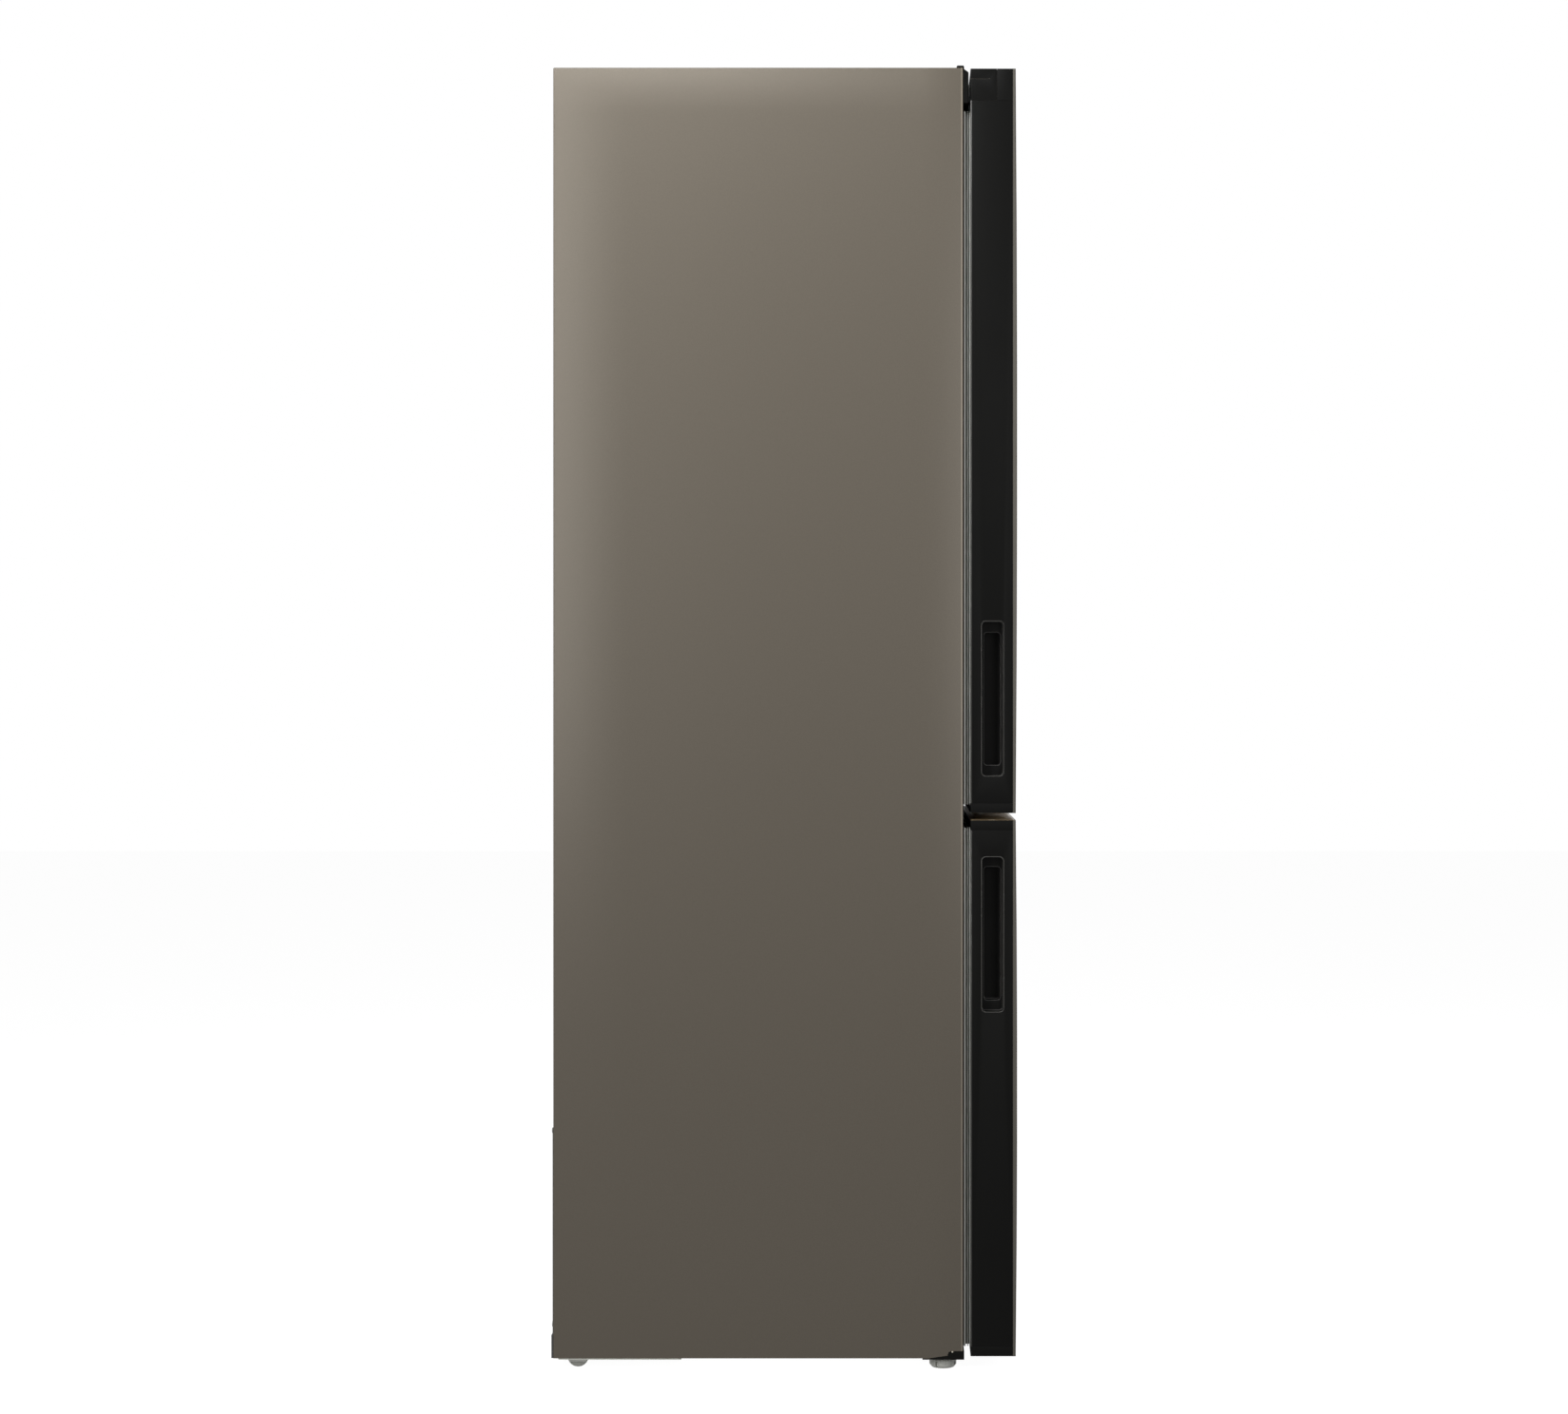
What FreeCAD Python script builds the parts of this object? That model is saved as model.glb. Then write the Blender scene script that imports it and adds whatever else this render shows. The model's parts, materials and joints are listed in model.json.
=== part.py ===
"""A two-door refrigerator with a bottom freezer, in millimetres, one solid or group of solids per piece.

The frame has +Z up and its origin on the floor, under the middle of the whole. The doors face -Y,
and their hinges are at +X, so the hand grips are in the doors' edges at -X.
"""
import FreeCAD, Part
import math
import os
import types

import Sketcher

SIZES = [
    # The whole refrigerator
    ("overall_width", 595),
    ("overall_depth", 661),
    ("overall_height", 1853),
    ("floor_gap", 19),
    ("trim_lip", 3),
    ("rear_reach", 2.8),
    ("fit_gap", 0.3),
    # Sheet metal of the cabinet
    ("steel", 0.8),
    ("fold_radius", 1.6),
    ("side_flange", 32),
    ("top_flange", 75),
    ("rear_flange", 20),
    ("front_rail_height", 53),
    ("back_sheet", 1.2),
    ("notch_height", 10.3),
    ("notch_depth", 22.5),
    ("notch_corner", 5),
    ("notch_lip", 3.9),
    ("notch_taper", 27),
    # Compartments and their liners
    ("liner_wall", 1.2),
    ("liner_corner", 10),
    ("fridge_side_wall", 47.5),
    ("divider_half", 30.5),
    ("roof_wall", 80),
    ("fridge_back_wall", 62.7),
    ("freezer_side_wall", 62.5),
    ("floor_wall", 61),
    ("freezer_back_wall", 77.7),
    ("step_wall", 60),
    ("machine_depth", 182.7),
    ("machine_height", 326),
    # Shelves, their ledges and the crisper cover
    ("glass", 4),
    ("ledge_width", 10),
    ("ledge_height", 6),
    ("ledge_setback", 15),
    ("ledge_back_gap", 50),
    ("shelf_setback", 105.3),
    ("shelf_back_gap", 37),
    ("shelf_lip_height", 17),
    ("shelf_lip_depth", 13),
    ("shelf_slot", 7),
    ("crisper_room", 178),
    ("chill_room", 122),
    ("top_shelf_spare", 1),
    ("freezer_ledge_width", 8),
    ("freezer_shelf_setback", 6),
    ("freezer_low_room", 212),
    ("freezer_middle_room", 220),
    # Drawers
    ("drawer_wall", 2.2),
    ("drawer_corner", 12),
    ("drawer_edge", 5),
    ("crisper_side_gap", 20),
    ("crisper_back_gap", 65),
    ("crisper_height", 170),
    ("chill_height", 95),
    ("freezer_drawer_gap", 9),
    ("freezer_drawer_setback", 26.3),
    ("freezer_drawer_back_gap", 10),
    ("freezer_top_drawer_gap", 12),
    ("freezer_drawer_height", 195),
    ("freezer_top_drawer_height", 215),
    ("scoop_half", 75),
    ("scoop_depth", 26),
    ("scoop_radius", 12),
    # Doors
    ("door_crown", 2),
    ("door_depth", 64.2),
    ("seal_gap", 10),
    ("lower_door_bottom", 22),
    ("lower_door_height", 760.5),
    ("door_gap", 10),
    ("upper_door_drop", 1.5),
    ("panel_sheet", 0.8),
    ("panel_return", 4),
    ("panel_edge", 1.5),
    ("trim_wall", 2.5),
    ("trim_width", 14),
    ("trim_edge", 1.5),
    ("cap_height", 14),
    ("hinge_corner", 8),
    ("corner_height", 45.1),
    ("corner_width", 27.5),
    ("corner_depth", 37.7),
    ("corner_wall", 2.5),
    ("corner_seam", 0.6),
    ("bush_height", 20),
    # Hand grips
    ("grip_length", 221.7),
    ("grip_width", 32.8),
    ("grip_radius", 7),
    ("grip_rim_depth", 22),
    ("grip_end_inset", 51.4),
    ("grip_back_inset", 15),
    ("pocket_length", 190),
    ("pocket_width", 24),
    ("pocket_radius", 5),
    ("pocket_depth", 22),
    ("cup_wall", 2.2),
    # Gaskets
    ("gasket_width", 17),
    ("gasket_side_inset", 14),
    ("gasket_end_inset", 11.2),
    ("gasket_top_inset", 57.4),
    # Inner sides of the doors
    ("dyke_side_gap", 10),
    ("dyke_width", 28),
    ("dyke_reach", 64.3),
    ("dyke_wall", 2),
    ("dyke_edge", 9),
    ("dyke_clearance", 9),
    ("pad_side_gap", 20),
    ("pad_reach", 18.3),
    ("pad_clearance", 14),
    ("bin_reach", 104.3),
    ("bin_wall", 2.2),
    ("bin_corner", 14),
    ("bin_draft", 12),
    ("bin_front_height", 62),
    ("bin_back_height", 86),
    ("bottle_front_height", 88),
    ("bottle_back_height", 128),
    ("bottle_bin_rise", 30),
    ("lower_bin_rise", 237),
    ("top_bin_room", 175),
    # Door hinges
    ("hinge_side_inset", 14),
    ("hinge_back_inset", 22),
    ("pin_radius", 4),
    ("pin_clearance", 0.05),
    ("pin_reach", 11),
    ("bore_depth", 12),
    ("arm_half", 7.5),
    ("arm_thickness", 4),
    ("arm_drop", 28),
    ("collar_radius", 7),
    ("base_thickness", 3),
    ("base_width", 32),
    ("base_outer_inset", 3.5),
    ("top_base_height", 38),
    ("mid_base_height", 28),
    ("mid_arm_thickness", 5),
    ("bottom_hinge_thickness", 3),
    ("bottom_hinge_width", 61.5),
    ("bottom_hinge_depth", 104.3),
    # Front trim, corner bracket and front feet
    ("trim_depth", 7.3),
    ("trim_drop", 50.3),
    ("trim_roof", 9.8),
    ("trim_skin", 1.5),
    ("trim_round", 2),
    ("trim_step", 6.4),
    ("trim_step_lip", 5),
    ("trim_step_drop", 9.5),
    ("bracket_thickness", 2),
    ("bracket_skin", 1),
    ("bracket_width", 62),
    ("bracket_depth", 58.3),
    ("foot_side_inset", 35.5),
    ("foot_setback", 28.7),
    ("foot_radius", 19.35),
    ("foot_height", 15.5),
    ("foot_round", 5.4),
    ("stud_radius", 5),
    ("stud_top", 42),
    ("stud_hole_radius", 7),
    ("stud_room", 12),
    ("foot_notch", 2.6),
    ("foot_notch_depth", 1.8),
    # Base tray, rollers and rear cover
    ("tray_sheet", 1.6),
    ("tray_bottom", 17),
    ("tray_back_inset", 7.1),
    ("tray_flange_height", 28),
    ("roller_radius", 15),
    ("roller_width", 18),
    ("roller_groove", 1.5),
    ("roller_back_inset", 31.7),
    ("roller_side_inset", 40),
    ("axle_radius", 4),
    ("cheek_sheet", 2),
    ("cheek_half", 12),
    ("cheek_bottom", 8),
    ("cheek_top", 36),
    ("cheek_flange", 9),
    ("cover_sheet", 1),
    ("cover_side_inset", 1.5),
    ("cover_overlap", 0.5),
    ("cover_rib_top", 52),
    ("louvre_length", 92),
    ("louvre_height", 6),
    ("louvre_pitch", 18),
    ("louvre_column_pitch", 122),
    ("louvre_level", 110),
    ("screw_radius", 4),
    ("screw_head", 1.6),
    ("screw_shank", 2),
    ("cover_screw_side_inset", 9.5),
    ("cover_screw_inset", 4.2),
    ("cover_screw_low", 66),
    # Power inlet gland
    ("gland_side_inset", 65.5),
    ("gland_level", 84),
    ("gland_flange_radius", 11),
    ("gland_flange", 1.5),
    ("gland_radius", 8),
    ("gland_bore", 4),
    ("gland_length", 16),
    # Compressor, drain pan and pipes
    ("compressor_side_room", 179.5),
    ("compressor_back_room", 95.7),
    ("compressor_radius", 72),
    ("compressor_height", 158),
    ("compressor_shoulder", 34),
    ("compressor_seam", 2),
    ("seat_height", 10),
    ("seat_radius", 11),
    ("seat_pitch_x", 86),
    ("seat_pitch_y", 58),
    ("foot_plate", 3),
    ("terminal_box", 34),
    ("pan_height", 30),
    ("pan_half_x", 82),
    ("pan_half_y", 66),
    ("pan_wall", 2),
    ("pan_corner", 10),
    ("pipe_radius", 3.2),
    ("pipe_bend", 8),
    ("pipe_reach", 12),
    ("pipe_level", 124),
    ("pipe_roof_drop", 45),
    ("pipe_inset", 56),
    ("discharge_inset", 22),
    ("discharge_level", 130),
    ("discharge_roof", 204),
    ("discharge_shift", 66),
    ("drier_radius", 9),
    ("drier_length", 80),
    # Condenser and its fan
    ("condenser_side_gap", 86.5),
    ("condenser_fan_gap", 41),
    ("condenser_level", 46),
    ("coil_pitch", 22),
    ("coil_layer_gap", 44),
    ("coil_tube_radius", 3),
    ("coil_wire", 1.6),
    ("fan_reach_from_can", 156),
    ("fan_level", 104),
    ("fan_radius", 56),
    ("fan_width", 18),
    ("fan_hub_radius", 15),
    ("blade_thickness", 1.6),
    ("fan_gap", 4),
    ("fan_frame_half", 68),
    ("fan_frame_depth", 20),
    ("motor_radius", 18),
    ("motor_length", 24),
    ("shaft_radius", 3),
    ("arm_width", 8),
    # Freezer air system
    ("cover_front_room", 60),
    ("cover_plate", 3),
    ("cover_floor_gap", 2),
    ("evaporator_half", 170),
    ("evaporator_rise", 31),
    ("evaporator_back_gap", 28),
    ("evaporator_layer_gap", 24),
    ("freezer_fan_drop", 107),
    ("freezer_fan_back_gap", 39),
    ("inlet_slot_height", 9),
    ("inlet_slot_half", 24),
    ("inlet_slot_pitch", 62),
    # Fridge air duct and lamp
    ("duct_half", 98),
    ("duct_depth", 28),
    ("duct_rise", 14),
    ("duct_top_gap", 18),
    ("duct_edge", 6),
    ("vent_half", 26),
    ("vent_x", 55),
    ("vent_height", 9),
    ("vent_depth", 9),
    ("lamp_half", 75),
    ("lamp_setback", 184.3),
    ("lamp_depth", 38),
    ("lamp_height", 8),
    ("lamp_edge", 3),
]

TOUCH = 1e-3
SHELF_COUNT = 3
BIN_COUNT = 3
LOUVRE_ROWS = 6
LOUVRE_COLUMNS = 4
FOOT_NOTCHES = 4
ARC_INSET_SHARE = 0.293
FAN_BLADES = 5
COIL_ROWS = 6
COIL_WIRES = 9
TUBE_SIDES = 6
BLADE_ROOT_SHARE = 0.85
BLADE_TURNS = (50, 28)
INLET_SLOTS = 7
FOOT_TURN = -10

# Bellows of a door gasket: shares of its width, from the outside in, and of its depth, from the door out
BELLOWS_SHARES = [
    (0.12, 0.00), (0.94, 0.00), (0.94, 0.16), (0.76, 0.27), (0.94, 0.40), (0.76, 0.53), (1.00, 0.66),
    (1.00, 1.00), (0.00, 1.00), (0.00, 0.66), (0.24, 0.53), (0.06, 0.40), (0.24, 0.27), (0.12, 0.16),
]

doc = FreeCAD.newDocument("Refrigerator")
sheet = doc.addObject("Spreadsheet::Sheet", "Sizes")
for row, (alias, number) in enumerate(SIZES, start=1):
    sheet.set(f"A{row}", alias)
    sheet.set(f"B{row}", str(number))
    sheet.setAlias(f"B{row}", alias)
doc.recompute()


class Size:
    """A length that holds both its value and the sheet expression that gives it."""

    def __init__(self, value, text):
        self.value = float(value)
        self.text = text

    def __float__(self):
        return self.value

    def __add__(self, other):
        other = sized(other)
        return Size(self.value + other.value, f"({self.text} + {other.text})")

    def __sub__(self, other):
        other = sized(other)
        return Size(self.value - other.value, f"({self.text} - {other.text})")

    def __mul__(self, other):
        other = sized(other)
        return Size(self.value * other.value, f"({self.text} * {other.text})")

    def __truediv__(self, other):
        other = sized(other)
        return Size(self.value / other.value, f"({self.text} / {other.text})")

    def __neg__(self):
        return Size(-self.value, f"(-1 * {self.text})")

    def __rsub__(self, other):
        return sized(other) - self

    __radd__ = __add__
    __rmul__ = __mul__


def sized(length):
    """Any plain number as a Size, and a Size as it is."""
    if isinstance(length, Size):
        return length
    return Size(length, repr(float(length)))


S = types.SimpleNamespace(**{alias: Size(getattr(sheet, alias), f"Sizes.{alias}") for alias, _ in SIZES})

# Planes that several pieces share
half = S.overall_width / 2
inner_half = half - S.steel
door_front = S.door_crown - S.overall_depth / 2
door_back = door_front + S.door_depth
cabinet_front = door_back + S.seal_gap
cabinet_back = S.overall_depth / 2 - S.rear_reach
cabinet_bottom = S.floor_gap
cabinet_top = S.overall_height - S.trim_lip
opening_half = half - S.side_flange
liner_front = cabinet_front + S.steel
foam_front = liner_front + S.liner_wall
foam_back = cabinet_back - S.steel - S.back_sheet
lower_door = (S.lower_door_bottom, S.lower_door_bottom + S.lower_door_height)
upper_door = (lower_door[1] + S.door_gap, cabinet_top - S.upper_door_drop)
gap_middle = lower_door[1] + S.door_gap / 2
return_back = door_front + S.panel_return
core_half = half - S.trim_width
hinge_x = half - S.hinge_side_inset
hinge_y = door_back - S.hinge_back_inset
foot_x = half - S.foot_side_inset
tray_top = S.tray_bottom + S.tray_sheet
machine_front = cabinet_back - S.machine_depth
machine_top = cabinet_bottom + S.machine_height

# Compartments
fridge_half = half - S.fridge_side_wall
fridge_floor = gap_middle + S.divider_half
fridge_top = cabinet_top - S.roof_wall
fridge_back = cabinet_back - S.fridge_back_wall
freezer_half = half - S.freezer_side_wall
freezer_floor = cabinet_bottom + S.floor_wall
freezer_top = gap_middle - S.divider_half
freezer_back = cabinet_back - S.freezer_back_wall
freezer_step_back = machine_front - S.step_wall
freezer_step_top = machine_top + S.step_wall

# Shelves, drawers and bins
crisper_cover_level = fridge_floor + S.crisper_room
first_shelf_level = crisper_cover_level + S.chill_room
shelf_pitch = (fridge_top - first_shelf_level - S.top_shelf_spare) / SHELF_COUNT
shelf_front = cabinet_front + S.shelf_setback
shelf_back = fridge_back - S.shelf_back_gap
ledge_front = shelf_front + S.ledge_setback
ledge_back = fridge_back - S.ledge_back_gap
freezer_shelf_low = freezer_floor + S.freezer_low_room
freezer_shelf_high = freezer_shelf_low + S.freezer_middle_room
freezer_drawer_front = cabinet_front + S.freezer_drawer_setback
freezer_shelf_front = freezer_drawer_front + S.freezer_shelf_setback
cover_front = freezer_back - S.cover_front_room
freezer_drawer_half = freezer_half - S.freezer_drawer_gap
freezer_drawer_back = freezer_step_back - S.freezer_drawer_back_gap
freezer_top_drawer_back = cover_front - S.freezer_top_drawer_gap
crisper_half = fridge_half - S.crisper_side_gap
crisper_back = fridge_back - S.crisper_back_gap
dyke_half = fridge_half - S.dyke_side_gap
pad_half = freezer_half - S.pad_side_gap
bottle_bin_level = fridge_floor + S.bottle_bin_rise
lower_bin_level = bottle_bin_level + S.lower_bin_rise
bin_pitch = (fridge_top - lower_bin_level - S.top_bin_room) / (BIN_COUNT - 1)

# Door corners and hand grips
notch_floor = upper_door[1] - S.corner_height
notch_front = door_back - S.corner_depth
notch_side = half - S.corner_width
cup_depth = S.grip_rim_depth + S.pocket_depth + S.cup_wall

# Hinges, bracket, feet and base
arm_bottom = cabinet_top - S.arm_drop
base_front = cabinet_front - S.base_thickness
base_outer = half - S.base_outer_inset
base_inner = base_outer - S.base_width
bottom_hinge_inner = half - S.bottom_hinge_width
bottom_hinge_back = cabinet_front + S.bottom_hinge_depth
bracket_back = cabinet_front + S.bracket_depth
foot_y = cabinet_front + S.foot_setback
tray_back = cabinet_back - S.tray_back_inset
roller_y = cabinet_back - S.roller_back_inset
cover_screw_x = half - S.cover_screw_side_inset

# Machine room
gland_x = half - S.gland_side_inset
compressor_x = half - S.compressor_side_room
compressor_y = cabinet_back - S.compressor_back_room
fan_x = compressor_x - S.fan_reach_from_can
pipe_roof = machine_top - S.pipe_roof_drop
condenser_half = (fan_x - S.condenser_fan_gap + half - S.condenser_side_gap) / 2
condenser_x = (fan_x - S.condenser_fan_gap - half + S.condenser_side_gap) / 2
discharge_x = fan_x - S.discharge_shift
discharge_y = compressor_y - S.discharge_inset

# Air system and lamp
evaporator_y = freezer_back - S.evaporator_back_gap
evaporator_level = freezer_step_top + S.evaporator_rise
freezer_fan_y = freezer_back - S.freezer_fan_back_gap
freezer_fan_level = freezer_top - S.freezer_fan_drop
duct_front = fridge_back - S.duct_depth
duct_bottom = first_shelf_level + S.duct_rise
duct_top = fridge_top - S.duct_top_gap
lamp_front = cabinet_front + S.lamp_setback

nodes = []


def vector(x, y, z):
    """A point from sizes or numbers."""
    return FreeCAD.Vector(float(x), float(y), float(z))


def bind(item, path, length):
    """Tie a property to its size, by expression."""
    item.setExpression(path, sized(length).text)


def keep(item, label):
    """Make an object a sub-part under its own label."""
    item.Label = label
    nodes.append(item)
    return item


def place(item, x, y, z):
    """Tie an object's place to three sizes."""
    bind(item, "Placement.Base.x", x)
    bind(item, "Placement.Base.y", y)
    bind(item, "Placement.Base.z", z)


def box(x, y, z, name="block"):
    """A block between two sizes along each axis."""
    block = doc.addObject("Part::Box", name)
    bind(block, "Length", x[1] - x[0])
    bind(block, "Width", y[1] - y[0])
    bind(block, "Height", z[1] - z[0])
    place(block, x[0], y[0], z[0])
    return block


TURNS = {
    "X": FreeCAD.Rotation(FreeCAD.Vector(0, 1, 0), 90),
    "Y": FreeCAD.Rotation(FreeCAD.Vector(1, 0, 0), -90),
    "Z": FreeCAD.Rotation(),
}


def rod(axis, start, radius, length, name="rod"):
    """A round bar that starts at a point and runs along an axis."""
    bar = doc.addObject("Part::Cylinder", name)
    bind(bar, "Radius", radius)
    bind(bar, "Height", length)
    bar.Placement = FreeCAD.Placement(FreeCAD.Vector(), TURNS[axis])
    place(bar, *start)
    return bar


def fuse(pieces, name="joined"):
    """One solid out of pieces that meet."""
    joined = doc.addObject("Part::MultiFuse", name)
    joined.Shapes = pieces
    joined.Refine = True
    return joined


def cut(base, tools, name="trimmed"):
    """A solid with one tool or several taken out of it."""
    trimmed = doc.addObject("Part::Cut", name)
    trimmed.Base = base
    trimmed.Tool = tools[0] if len(tools) == 1 else fuse(tools)
    trimmed.Refine = True
    return trimmed


def group(pieces, name):
    """Separate solids that share one node."""
    together = doc.addObject("Part::Compound", name)
    together.Links = pieces
    return together


def shaped(shape, name):
    """A solid that is formed by the code from the sheet's sizes."""
    formed = doc.addObject("Part::Feature", name)
    formed.Shape = shape
    formed.Placement = FreeCAD.Placement()
    return formed


def body(name):
    """An empty body."""
    return doc.addObject("PartDesign::Body", name)


def rect(u, v):
    """The corners of a rectangle."""
    return [(u[0], v[0]), (u[1], v[0]), (u[1], v[1]), (u[0], v[1])]


def circle(u, v, radius):
    """A circle, for a sketch."""
    return {"centre": (u, v), "radius": radius}


def hold(drawing, item, vertex, point):
    """Fix a point of a sketch by its two sizes."""
    for kind, length in zip(("DistanceX", "DistanceY"), point):
        number = drawing.addConstraint(
            Sketcher.Constraint(kind, -1, 1, item, vertex, float(length)))
        bind(drawing, f"Constraints[{number}]", length)


def bowed_edge(drawing, start, end, crown):
    """An arc that bulges to the left of its way from start to end, with the radius tied to its crown."""
    chord = end[1] - start[1]
    radius = (chord * chord / 4 + crown * crown) / (2 * crown)
    first = vector(start[0], start[1], 0)
    last = vector(end[0], end[1], 0)
    left = FreeCAD.Vector(0, 0, 1).cross(last - first).normalize()
    centre = (first + last) / 2 - left * float(radius - crown)
    angles = [math.atan2(spot.y - centre.y, spot.x - centre.x) for spot in (last, first)]
    if angles[1] < angles[0]:
        angles[1] += 2 * math.pi
    round_line = Part.Circle(centre, FreeCAD.Vector(0, 0, 1), float(radius))
    item = drawing.addGeometry(Part.ArcOfCircle(round_line, *angles), False)
    number = drawing.addConstraint(Sketcher.Constraint("Radius", item, float(radius)))
    bind(drawing, f"Constraints[{number}]", radius)
    return item


def draw(drawing, loop):
    """Add a closed outline, or a circle, to a sketch."""
    if isinstance(loop, dict):
        centre, radius = loop["centre"], loop["radius"]
        ring = Part.Circle(vector(*centre, 0), FreeCAD.Vector(0, 0, 1), float(radius))
        item = drawing.addGeometry(ring, False)
        number = drawing.addConstraint(Sketcher.Constraint("Radius", item, float(radius)))
        bind(drawing, f"Constraints[{number}]", radius)
        hold(drawing, item, 3, centre)
        return
    ends = []
    for here, there in zip(loop, loop[1:] + loop[:1]):
        if len(here) == 3:
            item = bowed_edge(drawing, here[:2], there[:2], here[2])
            ends.append((item, 2, 1))
        else:
            line = Part.LineSegment(vector(*here, 0), vector(there[0], there[1], 0))
            item = drawing.addGeometry(line, False)
            ends.append((item, 1, 2))
    for (item, start, end), (after, after_start, _) in zip(ends, ends[1:] + ends[:1]):
        drawing.addConstraint(Sketcher.Constraint("Coincident", item, end, after, after_start))
    for (item, start, _), point in zip(ends, loop):
        hold(drawing, item, start, point[:2])


def sketch(part, plane, level, *loops):
    """A sketch parallel to one of the body's planes, at a level along the axis that it faces."""
    drawing = part.newObject("Sketcher::SketchObject", part.Name + "_sketch")
    roles = {feature.Role: feature for feature in part.Origin.OriginFeatures}
    drawing.AttachmentSupport = [(roles[plane + "_Plane"], "")]
    drawing.MapMode = "FlatFace"
    level = sized(level)
    bind(drawing, "AttachmentOffset.Base.z", -level if plane == "XZ" else level)
    for loop in loops:
        draw(drawing, loop)
    drawing.Visibility = False
    return drawing


def pad(part, drawing, length, symmetric=False, back=False):
    """Thicken a sketch along its normal, both ways when symmetric, or against it."""
    feature = part.newObject("PartDesign::Pad", part.Name + "_pad")
    feature.Profile = drawing
    bind(feature, "Length", length)
    feature.SideType = "Symmetric" if symmetric else "One side"
    feature.Reversed = back
    return feature


def pocket(part, drawing, length, symmetric=False, along=False):
    """Cut a sketch out of the body against its normal, both ways when symmetric, or along it."""
    feature = part.newObject("PartDesign::Pocket", part.Name + "_pocket")
    feature.Profile = drawing
    bind(feature, "Length", length)
    feature.SideType = "Symmetric" if symmetric else "One side"
    feature.Reversed = along
    return feature


def near(number, places):
    """Whether a coordinate is at one of some places."""
    return any(abs(number - float(spot)) < TOUCH for spot in places)


def edges(part, along, x=(), y=(), z=()):
    """The names of a body's edges that run along an axis and lie at the given places."""
    doc.recompute()
    axis = "XYZ".index(along)
    names = []
    for number, edge in enumerate(part.Tip.Shape.Edges, start=1):
        if len(edge.Vertexes) < 2:
            continue
        start = edge.Vertexes[0].Point
        run = edge.Vertexes[1].Point - start
        if abs(run[axis]) < (1 - TOUCH) * run.Length:
            continue
        if all(near(start[k], places) for k, places in enumerate((x, y, z)) if places):
            names.append(f"Edge{number}")
    return names


def fillet(part, names, radius):
    """Round some of a body's edges."""
    feature = part.newObject("PartDesign::Fillet", part.Name + "_fillet")
    feature.Base = (part.Tip if part.Tip != feature else feature.BaseFeature, names)
    bind(feature, "Radius", radius)
    return feature


def chamfer(part, names, length):
    """Bevel some of a body's edges."""
    feature = part.newObject("PartDesign::Chamfer", part.Name + "_chamfer")
    feature.Base = (part.Tip if part.Tip != feature else feature.BaseFeature, names)
    bind(feature, "Size", length)
    return feature


def rims(part):
    """The names of a body's full round edges, the lowest first."""
    doc.recompute()
    found = [(edge.BoundBox.ZMax, number) for number, edge in enumerate(part.Tip.Shape.Edges, start=1)
             if len(edge.Vertexes) == 1]
    return [f"Edge{number}" for _, number in sorted(found)]


def rim_below(part, level):
    """The names of a body's edges that lie no higher than a level."""
    doc.recompute()
    top = float(level) + TOUCH
    return [f"Edge{number}" for number, edge in enumerate(part.Tip.Shape.Edges, start=1)
            if edge.BoundBox.ZMax < top]


def hollow(part, facing, wall):
    """Leave a wall inside the body's faces, open at the flat faces that look the given ways."""
    doc.recompute()
    shape = part.Tip.Shape
    names = []
    for number, face in enumerate(shape.Faces, start=1):
        if not isinstance(face.Surface, Part.Plane):
            continue
        normal = face.normalAt(0, 0)
        if any(normal.dot(FreeCAD.Vector(*way)) > 1 - TOUCH for way in facing):
            names.append(f"Face{number}")
    base = part.Tip
    feature = part.newObject("PartDesign::Thickness", part.Name + "_hollow")
    feature.Base = (base, names)
    bind(feature, "Value", wall)
    feature.Reversed = True
    feature.Join = "Intersection"
    return feature


# Cabinet shell, its floor plate and its insulation

def cover_screws():
    """The four screws of the rear cover, as places across and up."""
    levels = (S.cover_screw_low, machine_top + S.cover_overlap - S.cover_screw_inset)
    return [(side * cover_screw_x, level) for side in (-1, 1) for level in levels]


def make_cabinet_shell():
    part = body("shell")
    height = cabinet_top - cabinet_bottom
    outside = rect((-half, half), (cabinet_front, cabinet_back))
    pad(part, sketch(part, "XY", cabinet_bottom, outside), height)
    folds = edges(part, "Z", x=(-half, half)) + edges(part, "Y", z=(cabinet_top,))
    fillet(part, folds + edges(part, "X", z=(cabinet_top,)), S.fold_radius)
    inside = rect((-inner_half, inner_half), (liner_front, cabinet_back - S.steel))
    pocket(part, sketch(part, "XY", cabinet_bottom, inside), height - S.steel, along=True)
    front = rect((-opening_half, opening_half), (cabinet_bottom, cabinet_top - S.top_flange))
    pocket(part, sketch(part, "XZ", cabinet_front, front), S.steel)
    rear_half = half - S.rear_flange
    rear = rect((-rear_half, rear_half), (cabinet_bottom, cabinet_top - S.rear_flange))
    pocket(part, sketch(part, "XZ", cabinet_back - S.steel, rear), S.steel)
    pocket(part, sketch(part, "YZ", 0, corner_notch()), S.overall_width, symmetric=True)
    holes = [circle(x, z, S.screw_shank) for x, z in cover_screws()]
    pocket(part, sketch(part, "XZ", cabinet_back - S.steel, *holes), S.steel)
    keep(part, "cabinet_shell")


def corner_notch():
    """The low front corner of each side, seen from the side, that a black bracket fills."""
    top = cabinet_bottom + S.notch_height
    back = cabinet_front + S.notch_depth
    bend = S.notch_corner * ARC_INSET_SHARE
    return [
        (cabinet_front, cabinet_bottom),
        (cabinet_front, top),
        (back - S.notch_corner, top),
        (back - bend, top - bend),
        (back, top - S.notch_corner),
        (back, cabinet_bottom + S.notch_lip),
        (back + S.notch_taper, cabinet_bottom),
    ]


def make_back_panel():
    part = body("back")
    outline = rect((-inner_half, inner_half), (machine_top, cabinet_top - S.steel))
    pad(part, sketch(part, "XZ", foam_back, outline), S.back_sheet, back=True)
    keep(part, "back_panel")


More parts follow.
